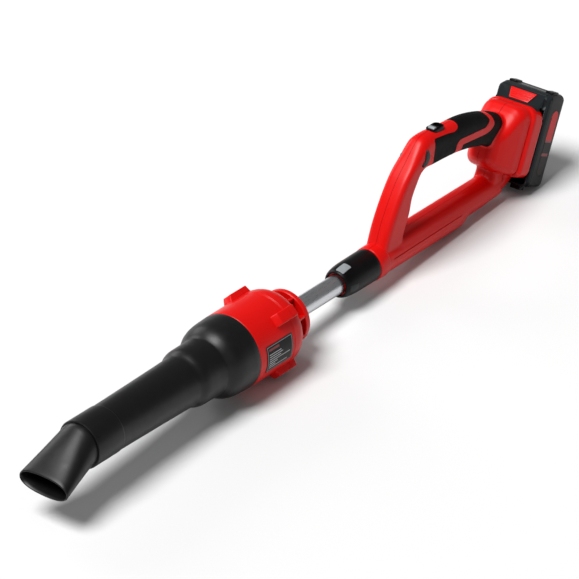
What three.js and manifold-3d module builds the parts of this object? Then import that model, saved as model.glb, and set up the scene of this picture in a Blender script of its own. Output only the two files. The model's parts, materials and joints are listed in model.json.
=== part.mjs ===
// Battery leaf blower on a telescopic pole, as an assembly of separate solids.
//
// Drawn along the pole axis: +X runs from the nozzle to the battery, +Z is up
// and -Y is the side with the rating plate. Drawing units are turned into
// millimetres by UNIT, and the finished tool is laid on the floor by restTilt,
// where it touches at the fan barrel and at the lower edge of the battery.

import * as THREE from 'three';
import { mergeVertices } from 'three/addons/utils/BufferGeometryUtils.js';
import Module from 'manifold-3d';

const wasm = await Module();
wasm.setup();

// ---------------------------------------------------------------- dimensions
const POLE_OD = 25; // mm, standard aluminium tube that fixes the scale
const UNIT = POLE_OD / 26; // mm per drawing unit
const GAP = 0.35; // clearance between neighbouring pieces
const BATTERY_LEAN = 22; // degrees the battery leans back from the axis normal

const SEG = 28; // facets round the big turned parts
const SEG_S = 14; // facets round the small ones

// air path
const SOCKET_R = 31;
const SOCKET_END = 46;
const TUBE_R0 = 30.3;
const TUBE_R1 = 32.8;
const STEP_R = 38;
const BARREL_R = 50.3;
const TUBE_END = 281;
const WALL = 2.6;
const TIP_X = -64.5;
const TIP_Z = -24.7;
const TIP_HALF_WIDTH = 36.5;
const TIP_HALF_HEIGHT = 13.8;
const SPIGOT_R = 28.1;

// fan
const SEAM_X = 349;
const CAP_END = 400;
const CAP_DISC_R = 36;
const LUG_HALF = 8;
const LUG_TOP = 58.5;
const LUG_PITCH = 50.5;
const IMPELLER_R = 46.6;
const HUB_R = 19;
const BLADES = 9;
const FINS = 8;
const MOTOR_R = 18.6;
const MOTOR_X0 = 322;
const MOTOR_X1 = 374;
const SHAFT_R = 1.7;

// pole and collar
const POLE_R = 13;
const POLE_WALL = 1.5;
const POLE_X0 = 386;
const POLE_X1 = 758;
const COLLAR_X0 = 500;
const COLLAR_X1 = 568;
const COLLAR_R = 22.4;
const SLEEVE_R = 15.3;

// handle
const NOSE_X = 568.35;
const LOWER_R = 21.8;
const LOOP_HALF = 16.5;
const LOOP_ROUND = 9;
const SHELL_WALL = 2.6;
const PAD_DEPTH = 1.8;

// battery mount and battery, in the leaning frame (w rearwards, u upwards)
const MOUNT_W1 = 801;
const MOUNT_U0 = 341;
const MOUNT_U1 = 437;
const RECESS_W = 789;
const CASE_SPLIT_W = 812;
const CASE_W1 = 847;
const CASE_EDGE_W = 843; // where the edge round of the battery's back starts
const CASE_U0 = 329.5;
const CASE_U1 = 458;
const CASE_HALF = 40;
const CELL_R = 9.4;
const CELL_L = 67.6;
const CELL_PITCH = 19.6;

// ------------------------------------------------------------------- helpers
const rad = THREE.MathUtils.degToRad;

/** Closed three.js geometry to a manifold, wound outwards. */
function solid(geometry) {
  let g = geometry.clone();
  for (const name of Object.keys(g.attributes)) if (name !== 'position') g.deleteAttribute(name);
  g = mergeVertices(g, 1e-4);
  const p = g.attributes.position.array;
  const index = [];
  let volume = 0;
  for (let i = 0; i < g.index.count; i += 3) {
    const [a, b, c] = [g.index.getX(i), g.index.getX(i + 1), g.index.getX(i + 2)];
    if (a === b || b === c || a === c) continue;
    index.push(a, b, c);
    const [A, B, C] = [a, b, c].map((k) => new THREE.Vector3(p[3 * k], p[3 * k + 1], p[3 * k + 2]));
    volume += A.dot(B.cross(C));
  }
  if (volume < 0) for (let i = 0; i < index.length; i += 3) [index[i], index[i + 1]] = [index[i + 1], index[i]];
  return new wasm.Manifold(new wasm.Mesh({
    numProp: 3, vertProperties: new Float32Array(p), triVerts: new Uint32Array(index),
  }));
}

const join = (...parts) => parts.reduce((a, b) => a.add(b));
const cut = (body, ...tools) => tools.reduce((a, b) => a.subtract(b), body);

/** Solid of revolution about the X axis from a closed [x, r] profile. */
function turned(profile, segments = SEG) {
  const pts = profile.map(([x, r]) => new THREE.Vector2(r, x));
  pts.push(pts[0].clone());
  return solid(new THREE.LatheGeometry(pts, segments).rotateZ(-Math.PI / 2));
}

/** Tube or rod along X. */
const rod = (x0, x1, ro, ri = 0, segments = SEG_S) => turned([[x0, ri], [x0, ro], [x1, ro], [x1, ri]], segments);

/** Box from its low and high corners. */
function box(lo, hi) {
  const size = hi.map((v, i) => v - lo[i]);
  const g = new THREE.BoxGeometry(...size);
  g.translate(...lo.map((v, i) => v + size[i] / 2));
  return solid(g);
}

/** Rings of equal length joined into a skin: capped, or closed on itself. */
function skinned(rings, closed = false) {
  const n = rings[0].length;
  const pos = rings.flat(2);
  const index = [];
  const count = closed ? rings.length : rings.length - 1;
  for (let i = 0; i < count; i++) {
    const j = (i + 1) % rings.length;
    for (let k = 0; k < n; k++) {
      const l = (k + 1) % n;
      index.push(i * n + k, j * n + k, j * n + l, i * n + k, j * n + l, i * n + l);
    }
  }
  if (!closed) {
    for (const [ring, flip] of [[0, false], [rings.length - 1, true]]) {
      const centre = pos.length / 3;
      const c = [0, 1, 2].map((a) => rings[ring].reduce((s, q) => s + q[a], 0) / n);
      pos.push(...c);
      for (let k = 0; k < n; k++) {
        const l = (k + 1) % n;
        const [a, b] = [ring * n + k, ring * n + l];
        index.push(centre, ...(flip ? [b, a] : [a, b]));
      }
    }
  }
  const g = new THREE.BufferGeometry();
  g.setAttribute('position', new THREE.Float32BufferAttribute(pos, 3));
  g.setIndex(index);
  return solid(g);
}

/** Oval ring in a plane of constant x: superellipse of the given power. */
function oval(x, cz, halfY, halfZ, power = 2, n = 28) {
  return Array.from({ length: n }, (_, k) => {
    const t = (2 * Math.PI * k) / n;
    const [c, s] = [Math.cos(t), Math.sin(t)];
    const e = 2 / power;
    return [x, Math.sign(c) * Math.abs(c) ** e * halfY, cz + Math.sign(s) * Math.abs(s) ** e * halfZ];
  });
}

/** Rounded rectangle ring at x, from z0 to z1 and +-halfY, corner radius r (low at the lower corners). */
function plaque(x, halfY, z0, z1, r, steps = 3, low = r) {
  const ring = [];
  const corners = [[halfY - r, z1 - r, 0, r], [-halfY + r, z1 - r, 90, r], [-halfY + low, z0 + low, 180, low], [halfY - low, z0 + low, 270, low]];
  for (const [cy, cz, a0, round] of corners) {
    for (let k = 0; k <= steps; k++) {
      const a = rad(a0 + (90 * k) / steps);
      ring.push([x, cy + round * Math.cos(a), cz + round * Math.sin(a)]);
    }
  }
  return ring;
}

/** Smooth closed or open run of [x, z] points. */
function smooth(points, count, closed = false) {
  const curve = new THREE.CatmullRomCurve3(points.map(([x, z]) => new THREE.Vector3(x, 0, z)), closed, 'centripetal');
  return curve.getSpacedPoints(count).map((p) => [p.x, p.z]);
}

/** Slab with rounded edges from an x-z outline, centred on y = 0. */
function slab(outline, half, round = 0, inset = 0, hole = null, steps = 2) {
  const wound = (points, clockwise) => {
    const run = points.map(([x, z]) => new THREE.Vector2(x, z));
    return THREE.ShapeUtils.isClockWise(run) === clockwise ? run : run.reverse();
  };
  const shape = new THREE.Shape(wound(outline, true));
  if (hole) shape.holes.push(new THREE.Path(wound(hole, false)));
  const h = half - inset;
  const g = new THREE.ExtrudeGeometry(shape, round > 0 ? {
    depth: 2 * (h - round), bevelEnabled: true, bevelThickness: round, bevelSize: round,
    bevelOffset: -round - inset, bevelSegments: steps, curveSegments: 1,
  } : { depth: 2 * h, bevelEnabled: false });
  g.translate(0, 0, -(round > 0 ? h - round : h));
  g.rotateX(Math.PI / 2);
  return solid(g);
}

/** Angle that lays both the fan barrel and the battery's lower edge on the floor. */
function restTilt() {
  const lean = rad(BATTERY_LEAN);
  const barrel = [360, -BARREL_R];
  const battery = [CASE_EDGE_W * Math.cos(lean) + CASE_U0 * Math.sin(lean), CASE_U0 * Math.cos(lean) - CASE_EDGE_W * Math.sin(lean)];
  return Math.atan2(battery[1] - barrel[1], battery[0] - barrel[0]);
}

/** Countersunk screw along +X: head at x0, tip at x1. */
function screw(x0, x1, y, z, headR, shankR) {
  const body = turned([[x0, 0], [x0, headR * 0.82], [x0 + 0.6, headR], [x0 + 2.4, headR], [x0 + 2.6, shankR], [x1 - 2, shankR], [x1, 0.3], [x1, 0]], 8);
  const slot = join(
    box([x0 - 1, -headR * 0.55, -0.45], [x0 + 1.2, headR * 0.55, 0.45]),
    box([x0 - 1, -0.45, -headR * 0.55], [x0 + 1.2, 0.45, headR * 0.55]),
  );
  return cut(body, slot).translate([0, y, z]);
}

const lean = (body) => body.rotate([0, BATTERY_LEAN, 0]);
const mirrorX = (body, x) => body.translate([-x, 0, 0]).mirror([1, 0, 0]).translate([x, 0, 0]);
const leftOnly = box([-200, -200, -200], [1200, -0.06, 400]);
const rightOnly = box([-200, 0.06, -200], [1200, 200, 400]);

// ------------------------------------------------------------------ finishes
const FINISH = {
  red: { color: 0xd0120c, roughness: 0.34, metalness: 0 },
  black: { color: 0x17181a, roughness: 0.5, metalness: 0 },
  charcoal: { color: 0x33383a, roughness: 0.5, metalness: 0 },
  rubber: { color: 0x0c0c0d, roughness: 0.85, metalness: 0 },
  grey: { color: 0x9aa0a2, roughness: 0.55, metalness: 0 },
  alu: { color: 0xc3c5c8, roughness: 0.28, metalness: 1 },
  steel: { color: 0x8d9094, roughness: 0.35, metalness: 1 },
  copper: { color: 0xb7723f, roughness: 0.4, metalness: 1 },
  board: { color: 0x1f5f38, roughness: 0.6, metalness: 0 },
  sleeve: { color: 0x2f6fb0, roughness: 0.4, metalness: 0 },
  plate: { color: 0x101012, roughness: 0.42, metalness: 0 },
};

const group = new THREE.Group();
group.name = 'leaf_blower';
const pieces = [];
const piece = (name, body, finish) => pieces.push({ name, body, finish });

// --------------------------------------------------------------- nozzle, tube
{
  const outer = [oval(31, 0, SPIGOT_R, SPIGOT_R), oval(-1, 0, SPIGOT_R, SPIGOT_R)];
  const inner = [oval(31, 0, SPIGOT_R - 1.8, SPIGOT_R - 1.8), oval(-1, 0, SPIGOT_R - 2, SPIGOT_R - 2)];
  const steps = 3;
  for (let i = 1; i <= steps; i++) {
    const t = i / steps;
    const x = THREE.MathUtils.lerp(-3, TIP_X, t);
    const halfY = THREE.MathUtils.lerp(SPIGOT_R, TIP_HALF_WIDTH, t);
    const halfZ = THREE.MathUtils.lerp(SPIGOT_R, TIP_HALF_HEIGHT, t);
    const power = 2 + 0.35 * t;
    outer.push(oval(x, TIP_Z * t, halfY, halfZ, power));
    inner.push(oval(x, TIP_Z * t, halfY - 2, halfZ - 2, power));
  }
  piece('nozzle_tip', skinned([...outer, ...inner.reverse()], true), 'black');
}
{
  const shoulder = [
    [SOCKET_END, SOCKET_R], [SOCKET_END + 4, TUBE_R0], [186, TUBE_R1], [190, 34.8], [196, 37.2], [203, 37.9], [232, STEP_R],
    [237, 42.4], [245, 46.8], [256, 49.1], [TUBE_END, BARREL_R],
  ];
  const outside = [[0, SOCKET_R - 0.8], [1, SOCKET_R], ...shoulder];
  const inside = [[TUBE_END, BARREL_R - WALL - 0.35], [TUBE_END + 8, BARREL_R - WALL - 0.35], [TUBE_END + 8, BARREL_R - 5.2],
    [262, BARREL_R - 5.2], [246, 43.2], [236, STEP_R - WALL - 0.4], [200, STEP_R - 3.2], [186, TUBE_R1 - WALL],
    [52, TUBE_R0 - WALL], [46, 27.4], [32, 27.4], [32, SPIGOT_R + GAP], [0, SPIGOT_R + GAP]];
  piece('blower_tube', turned([...outside, ...inside]), 'black');
}

// --------------------------------------------------------------- fan housing
const lugAngles = [45, 135, 225, 315];
const lugBlock = (outline, a) => slab(outline, LUG_HALF, 1.6).rotate([a - 90, 0, 0]);
const lugs = (x0, x1, r) => lugAngles.map((a) => {
  const [y, z] = [LUG_PITCH * Math.cos(rad(a)), LUG_PITCH * Math.sin(rad(a))];
  return rod(x0, x1, r, 0, 10).translate([0, y, z]);
});
{
  const barrel = turned([
    [TUBE_END + GAP, BARREL_R], [SEAM_X, BARREL_R + 0.4], [SEAM_X, BARREL_R - WALL], [TUBE_END + GAP, BARREL_R - WALL],
  ]);
  const bosses = lugAngles.map((a) => lugBlock([[321, 44], [321, 49.8], [330, LUG_TOP], [SEAM_X + 4, LUG_TOP], [SEAM_X + 4, 44]], a))
    .map((b) => b.intersect(box([300, -80, -80], [SEAM_X, 80, 80])));
  const holes = lugs(334, SEAM_X + 1, 2.4);
  piece('fan_housing', cut(join(barrel, ...bosses), rod(TUBE_END, SEAM_X + 1, BARREL_R - WALL - 0.01, 0, SEG), ...holes), 'red');
}
{
  const x0 = SEAM_X + GAP;
  const ring = turned([[x0, BARREL_R + 0.4], [360, BARREL_R], [366, 48.8], [371, 45.6], [374, 41.5], [374, 38.5], [369, 42], [362, 45.8], [354, BARREL_R - WALL], [x0, BARREL_R - WALL]]);
  const disc = turned([[376, 4.5], [376, 17], [391.5, 17.5], [391.5, CAP_DISC_R - 1], [393, CAP_DISC_R], [398, CAP_DISC_R], [CAP_END, CAP_DISC_R - 2.5],
    [CAP_END + 1, 18], [CAP_END + 6, 17], [CAP_END + 6, POLE_R + GAP], [POLE_X0 - GAP, POLE_R + GAP], [POLE_X0 - GAP, 4.5]]);
  const cup = turned([[350, MOTOR_R + 0.4], [350, MOTOR_R + 2.4], [376.5, MOTOR_R + 2.4], [376.5, 4.5], [MOTOR_X1 + GAP, 4.5], [MOTOR_X1 + GAP, MOTOR_R + 0.4]]);
  const fins = Array.from({ length: FINS }, (_, i) => {
    const outline = [[355, 20], [355, 30], [361, 47], [371, 44], [376, 38], [393, 35.4], [393, 16.5], [377, 16.5], [377, 20]];
    return slab(outline, 1.3).rotate([(360 / FINS) * (i + 0.5), 0, 0]);
  });
  const bosses = lugAngles.map((a) => lugBlock([[x0 - 4, 44], [x0 - 4, LUG_TOP], [359, LUG_TOP], [362, 56], [362, 44]], a))
    .map((b) => b.intersect(box([x0, -80, -80], [380, 80, 80])));
  const clear = rod(x0 - 1, 354, BARREL_R - WALL - 0.01, MOTOR_R + 6, SEG);
  const holes = [...lugs(x0 - 1, 362, 2.4), ...lugs(357.2, 363, 4.6)];
  piece('intake_cap', cut(join(ring, disc, cup, ...fins, ...bosses), clear, ...holes), 'red');
}
lugAngles.forEach((a, i) => {
  const [y, z] = [LUG_PITCH * Math.cos(rad(a)), LUG_PITCH * Math.sin(rad(a))];
  piece(`housing_screw_${i + 1}`, mirrorX(screw(337, 361, 0, 0, 4.1, 2), 349).translate([0, y, z]), 'steel');
});
{
  // curved rating plate on the side of the barrel
  const plate = turned([[293, BARREL_R + 0.35], [293, BARREL_R + 0.9], [343, BARREL_R + 1.2], [343, BARREL_R + 0.65]]).intersect(box([290, -80, -17], [350, 0, 17.5]));
  piece('rating_plate', plate, 'plate');
}

// --------------------------------------------------------------- fan and motor
{
  const hub = turned([[294, 0], [294.6, 5], [296.5, 11], [300, 16], [304, HUB_R], [318, HUB_R], [318, HUB_R - 3], [308, HUB_R - 3.4], [308, 5], [319, 5], [319, SHAFT_R + 0.06], [304.6, SHAFT_R + 0.06], [304.6, 0]], 24);
  const blades = Array.from({ length: BLADES }, (_, i) => {
    const rings = [HUB_R - 1.6, 28, 38, IMPELLER_R].map((r, k) => {
      const pitch = rad([58, 48, 40, 34][k]);
      const chord = [17, 20, 22, 23][k] / 2;
      const dir = [Math.cos(pitch), Math.sin(pitch)];
      const thick = [1.5, 1.2, 1, 0.8][k] / 2;
      const arc = (s, n) => {
        const x = 310 - s * dir[0] * chord * 0.62 + n * dir[1] * thick;
        const t = s * dir[1] * chord + n * dir[0] * thick;
        const a = t / r;
        const rr = r;
        return [THREE.MathUtils.clamp(x, 300, 318), rr * Math.sin(a), rr * Math.cos(a)];
      };
      return [arc(-1, 1), arc(0, 1), arc(1, 1), arc(1, -1), arc(0, -1), arc(-1, -1)];
    });
    return skinned(rings).rotate([(360 / BLADES) * i, 0, 0]);
  });
  piece('impeller', join(hub, ...blades), 'charcoal');
  piece('motor_shaft', rod(305, 346, SHAFT_R, 0, SEG_S), 'steel');
  const can = turned([[MOTOR_X0 - 2, SHAFT_R + 0.06], [MOTOR_X0 - 2, 5.5], [MOTOR_X0, 5.5], [MOTOR_X0, MOTOR_R - 1.5], [MOTOR_X0 + 1.5, MOTOR_R], [MOTOR_X1 - 8, MOTOR_R],
    [MOTOR_X1 - 8, MOTOR_R - 0.8], [MOTOR_X1, MOTOR_R - 0.8], [MOTOR_X1, 0], [347, 0], [347, SHAFT_R + 0.06]], 24);
  piece('motor_can', can, 'steel');
}

// -------------------------------------------------------------- pole, collar
piece('pole_tube', rod(POLE_X0, POLE_X1, POLE_R, POLE_R - POLE_WALL, 28), 'alu');
piece('motor_lead', rod(MOTOR_X1 + 0.8, POLE_X1 - 12, 2.6, 0, 12), 'rubber');
{
  const sleeve = turned([[504, POLE_R + 0.3], [503, POLE_R + 0.9], [503, SLEEVE_R], [604, SLEEVE_R], [604, POLE_R + 0.3]], 28);
  const slots = [30, 150, 270].map((a) => box([500, -0.8, 10], [540, 0.8, 20]).rotate([a, 0, 0]));
  piece('clamp_sleeve', cut(sleeve, ...slots), 'red');
  const collar = turned([[COLLAR_X0, SLEEVE_R + 0.3], [COLLAR_X0, 16.8], [502, 18.8], [507, 20.2], [514, 21.4], [524, 22], [560, COLLAR_R], [COLLAR_X1 - 1.2, COLLAR_R],
    [COLLAR_X1, COLLAR_R - 1], [COLLAR_X1, SLEEVE_R + 0.3]], SEG);
  // both marks follow the rounded front of the collar
  const pocket = (a, x0, x1, h) => turned([[x0, 17.8], [x0, 30], [x1, 30], [x1, 20.3], [514, 19.9], [507, 18.6]], SEG)
    .intersect(box([x0, -h, 10], [x1, h, 31]).rotate([a, 0, 0]));
  const pad = (a, x0, x1, h) => turned([[x0, 18.1], [x0, 19.3], [507, 20.4], [514, 21.6], [x1, 22], [x1, 20.6], [514, 20.2], [507, 18.9]], SEG)
    .intersect(box([x0, -h, 10], [x1, h, 31]).rotate([a, 0, 0]));
  piece('locking_collar', cut(collar, pocket(8, 502.7, 520.3, 6.3), pocket(97, 504.7, 520.3, 5.3)), 'black');
  piece('collar_mark', pad(8, 503, 520, 6), 'grey');
  piece('collar_mark_side', pad(97, 505, 520, 5), 'charcoal');
}

// --------------------------------------------------------------------- handle
const SPINE = [[574, -15], [580.5, 10], [585, 26], [593, 47.5], [609, 77.5], [625, 100.5], [643, 118.8], [657, 133.5], [664, 140], [672, 143.7], [684, 144.7],
  [697, 143.8], [716, 141.6], [740, 140], [764, 138], [784, 134.3], [806, 128.3], [832, 119], [852, 109]];
const INNER = [[621, 12], [629, 33], [637, 52], [642, 72], [651, 88], [658, 100], [665, 105], [683, 103.4], [701, 102.4], [724, 100.4], [747, 97], [770, 92], [792, 86]];
const loopOutline = [...smooth(SPINE, 18), [868, 92], [864, 50], [856, 14], [836, -6], [770, -8]];
const loopHole = [...smooth(INNER, 13), [812, 80], [822, 56], [830, 36], [822, 18]];
const loopBody = (inset) => slab(loopOutline, LOOP_HALF, LOOP_ROUND, inset, loopHole);

/** Lower tube of the handle, radius reduced by inset: it steps up behind the grip. */
function lowerTube(inset, x0 = NOSE_X) {
  const rings = [[x0, 0, LOWER_R], [758, 0, LOWER_R - 0.8], [774, 5.8, 18.2], [812, 6.4, 18.4], [840, 10, 18.6], [858, 15, 18.6], [872, 21, 18.6]];
  return skinned(rings.map(([x, z, r]) => oval(x, z, r - inset, r - inset, 2, 24)));
}

/** Rounded bar that rides on the lower tube, from the front leg to the mount. */
function saddle(inset) {
  const side = [[20.8, 4], [19.4, 13], [16.6, 19.2], [11, 22.6]];
  const section = (x, k) => [...side, [0, 23.2], ...side.map(([y, z]) => [-y, z]).reverse(), [-14, -6], [14, -6]].map(([y, z]) => [
    x, k * (y - Math.sign(y) * inset), k * (z > 5 ? z - inset : z),
  ]);
  return skinned([section(590 + inset, 0.86), section(604 + inset, 0.95), section(622 + inset, 1), section(842, 1)]);
}

/** Housing in front of the battery, with the bulge that faces the grip. */
function mountBody(inset) {
  const i = inset;
  // w: half width, lower edge, upper edge, upper corner radius
  const rings = [
    [728, 10, 358, 380, 7], [731, 16, 353, 388, 10], [737, 22, 348.5, 398, 14], [746, 26.5, 346, 410, 16], [754, 29.5, 344.5, 424, 17],
    [760, 31.5, 343.8, 432, 17], [766, 33.5, 343.3, 434.5, 16], [778, 35, 343, 435.5, 16], [782, 40, MOUNT_U0, MOUNT_U1, 20],
  ].map(([w, half, u0, u1, r]) => [w + i, half, u0, u1, r]);
  rings.push([MOUNT_W1, 40.5, MOUNT_U0, MOUNT_U1, 22]);
  return lean(skinned(rings.map(([w, half, u0, u1, r]) => plaque(w, half - i, u0 + i, u1 - i, Math.max(2, r - i), 3, Math.max(2, Math.min(r, 12) - i)))));
}

const nose = turned([[NOSE_X, 0], [NOSE_X, 22.2], [570, 23], [586, 23.2], [588, LOWER_R - 0.5], [588, 0]], SEG);
const outerHandle = join(loopBody(0), lowerTube(0), saddle(0), mountBody(0), nose).intersect(lean(box([-900, -200, -900], [MOUNT_W1, 200, 900])));
let cavity = join(loopBody(SHELL_WALL), lowerTube(SHELL_WALL, 590), saddle(SHELL_WALL), mountBody(SHELL_WALL));
// webs kept inside: pole guides, switch seat and the wall behind the battery
const web = (x0, x1) => rod(x0, x1, 30, 0, SEG_S);
cavity = cut(cavity, web(640, 643.5), web(716, 719.5), lean(box([785.6, -60, 300], [900, 60, 500])));
const poleBore = join(rod(560, 800, POLE_R + 0.45, 0, 40), rod(560, 604.5, SLEEVE_R + GAP, 0, 40));
const batteryRecess = lean(join(
  box([RECESS_W, -33.6, 346], [797, 33.6, 460]),
  box([796.5, -29.6, 346], [820, 29.6, 460]),
));
const wireWay = lean(rod(770, 800, 6, 0, 16).translate([0, 0, 358]));

// top switch seat and side button window
const SWITCH_X = 705;
const switchWell = box([SWITCH_X - 13.1, -8.3, 133], [SWITCH_X + 13.1, 8.3, 157]);
const crescent = [[667, 131], [671.5, 124], [671, 116.5], [665.5, 110.5], [657.5, 110], [657, 113], [662, 117.5], [663.5, 124]];
/** Outline pushed out by d all round, with mitred corners. */
const grown = (pts, d) => {
  const run = THREE.ShapeUtils.isClockWise(pts.map(([x, z]) => new THREE.Vector2(x, z))) ? [...pts].reverse() : pts;
  return run.map((q, i) => {
    const before = run[(i + run.length - 1) % run.length];
    const after = run[(i + 1) % run.length];
    const normal = (a, b) => new THREE.Vector2(b[1] - a[1], a[0] - b[0]).normalize();
    const [n0, n1] = [normal(before, q), normal(q, after)];
    const bisector = n0.clone().add(n1).normalize();
    const reach = d / Math.max(0.4, bisector.dot(n1));
    return [q[0] + bisector.x * reach, q[1] + bisector.y * reach];
  });
};
const sideWindow = slab(grown(crescent, 0.45), 6).translate([0, -14, 0]);

// rubber grip panels: the main panel and the heel behind the red rib
const PAD_MAIN = [[680, 96], [683.5, 125], [685.5, 138], [697, 137], [716, 134.5], [731, 132], [740, 134], [744, 139], [740, 146], [731, 151], [735, 160], [795, 150], [797, 139],
  [809, 128], [812, 118.5], [799, 113], [741, 118], [734, 114], [727, 90]];
const PAD_HEEL = [[742, 88], [748, 107.5], [800, 102.5], [812, 103.5], [821.5, 109], [822, 119.5], [811, 134], [808, 150], [852, 130], [852, 100], [846, 84], [820, 74], [770, 84]];
const mask = (outline, half = 40) => slab(outline, half);
const padSkin = cut(loopBody(0), loopBody(PAD_DEPTH - GAP));
const padRoom = cut(loopBody(-1), loopBody(PAD_DEPTH));
const HEEL_FRONT = [[600, 300], [726.5, 300], [726.5, 386], [734, 398], [741, 410], [741, 480], [600, 480]]; // clear of the bulge, in (w, u)
const heelLimit = lean(mask(HEEL_FRONT, 60));
const mainPad = padSkin.intersect(mask(PAD_MAIN));
const heelPad = padSkin.intersect(mask(PAD_HEEL)).intersect(heelLimit);
const mainRoom = padRoom.intersect(mask(grown(PAD_MAIN, 0.4)));
const heelRoom = padRoom.intersect(mask(grown(PAD_HEEL, 0.4))).intersect(lean(mask(grown(HEEL_FRONT, 0.4), 61)));

// screw posts: heads sink into the right shell, threads end in the left one
const postAt = ([x, z], r, y0, y1) => solid(new THREE.CylinderGeometry(r, r, y1 - y0, 10).translate(0, (y0 + y1) / 2, 0)).translate([x, 0, z]);
const SCREWED = [[612, 44, 16.5], [652.5, 120, 16.5], [765, 117, 16.5], [636, 92, 16.5], [846, 54, 32.5]];
const posts = SCREWED.map(([x, z, h]) => postAt([x, z], 4.6, -h + 2, h - 1));
const shellWhole = cut(join(cut(outerHandle, cavity), ...posts.map((p) => p.intersect(outerHandle))),
  poleBore, batteryRecess, wireWay, switchWell, sideWindow, mainRoom, heelRoom,
  ...SCREWED.map(([x, z, h]) => postAt([x, z], 4.4, h - 5, h + 30)),
  ...SCREWED.map(([x, z, h]) => postAt([x, z], 1.9, -7, h + 1)));
const biggest = (body) => body.decompose().sort((a, b) => b.volume() - a.volume())[0];
const leftShell = biggest(shellWhole.intersect(leftOnly));
const rightShell = biggest(shellWhole.intersect(rightOnly));
piece('handle_shell_left', leftShell, 'red');
piece('handle_shell_right', rightShell, 'red');
piece('grip_pad_left', biggest(mainPad.intersect(leftOnly)), 'rubber');
piece('grip_pad_right', biggest(mainPad.intersect(rightOnly)), 'rubber');
piece('grip_heel_left', biggest(heelPad.intersect(leftOnly)), 'rubber');
piece('grip_heel_right', biggest(heelPad.intersect(rightOnly)), 'rubber');
SCREWED.forEach(([x, z, h], i) => {
  const s = screw(0, h + 2, 0, 0, 3.9, 1.6).rotate([0, 0, -90]).translate([x, h - 2.3, z]);
  piece(`handle_screw_${i + 1}`, s, 'steel');
});

// ------------------------------------------------------------------- controls
{
  const x0 = SWITCH_X - 12.7;
  const x1 = SWITCH_X + 12.7;
  const frame = cut(box([x0, -7.9, 134.2], [x1, 7.9, 144.9]), box([x0 + 2, -6, 136.5], [x1 - 2, 6, 160]), box([SWITCH_X - 8.5, -2.2, 130], [SWITCH_X + 9.5, 2.2, 150]));
  piece('switch_frame', frame, 'black');
  const slider = join(
    box([SWITCH_X - 10.1, -5.6, 136.9], [SWITCH_X + 2.6, 5.6, 144.5]),
    box([SWITCH_X - 5.5, -1.8, 130.5], [SWITCH_X - 1.5, 1.8, 139]),
    ...[0, 1, 2].map((k) => box([SWITCH_X - 1.8 + 1.6 * k, -5.2, 144], [SWITCH_X - 0.8 + 1.6 * k, 5.2, 145.6])),
  );
  piece('power_slider', slider, 'black');
  piece('slider_pad', slab([[SWITCH_X - 9.7, 144.85], [SWITCH_X - 9.1, 146.7], [SWITCH_X - 7, 148], [SWITCH_X - 3.8, 147.3], [SWITCH_X - 2.6, 144.85]], 5), 'grey');
  piece('switch_body', cut(box([SWITCH_X - 13, -7, 110.5], [SWITCH_X + 13, 7, 128]), box([SWITCH_X - 8, -2.6, 125], [SWITCH_X + 9, 2.6, 137])).add(
    join(box([SWITCH_X - 8, -5, 106.5], [SWITCH_X - 6, -3, 111.5]), box([SWITCH_X + 6, 3, 106.5], [SWITCH_X + 8, 5, 111.5]))), 'charcoal');
  const button = slab(crescent, 5.2).translate([0, -12.6, 0]);
  const flange = slab(grown(crescent, 1.4), 0.8).translate([0, -10.4, 0]).intersect(loopBody(SHELL_WALL + GAP));
  piece('side_button', join(button, flange), 'charcoal');
}
{
  const plate = box([0, -13, -17], [1.6, 13, 17]);
  const chips = [[-6, -8, 5, 5], [5, 4, 4, 6], [-4, 9, 6, 4]].map(([y, z, a, b]) => box([-3, y - a / 2, z - b / 2], [0.2, y + a / 2, z + b / 2]));
  piece('control_board', lean(join(plate, ...chips).translate([778, 0, 398])), 'board');
  const base = box([RECESS_W + GAP, -14, 347], [792.6, 14, 368]);
  const blades = [-9, -3, 3, 9].map((y) => box([792, y - 0.5, 350], [799, y + 0.5, 366]));
  piece('terminal_block', lean(join(base, ...blades)), 'charcoal');
}

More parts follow.
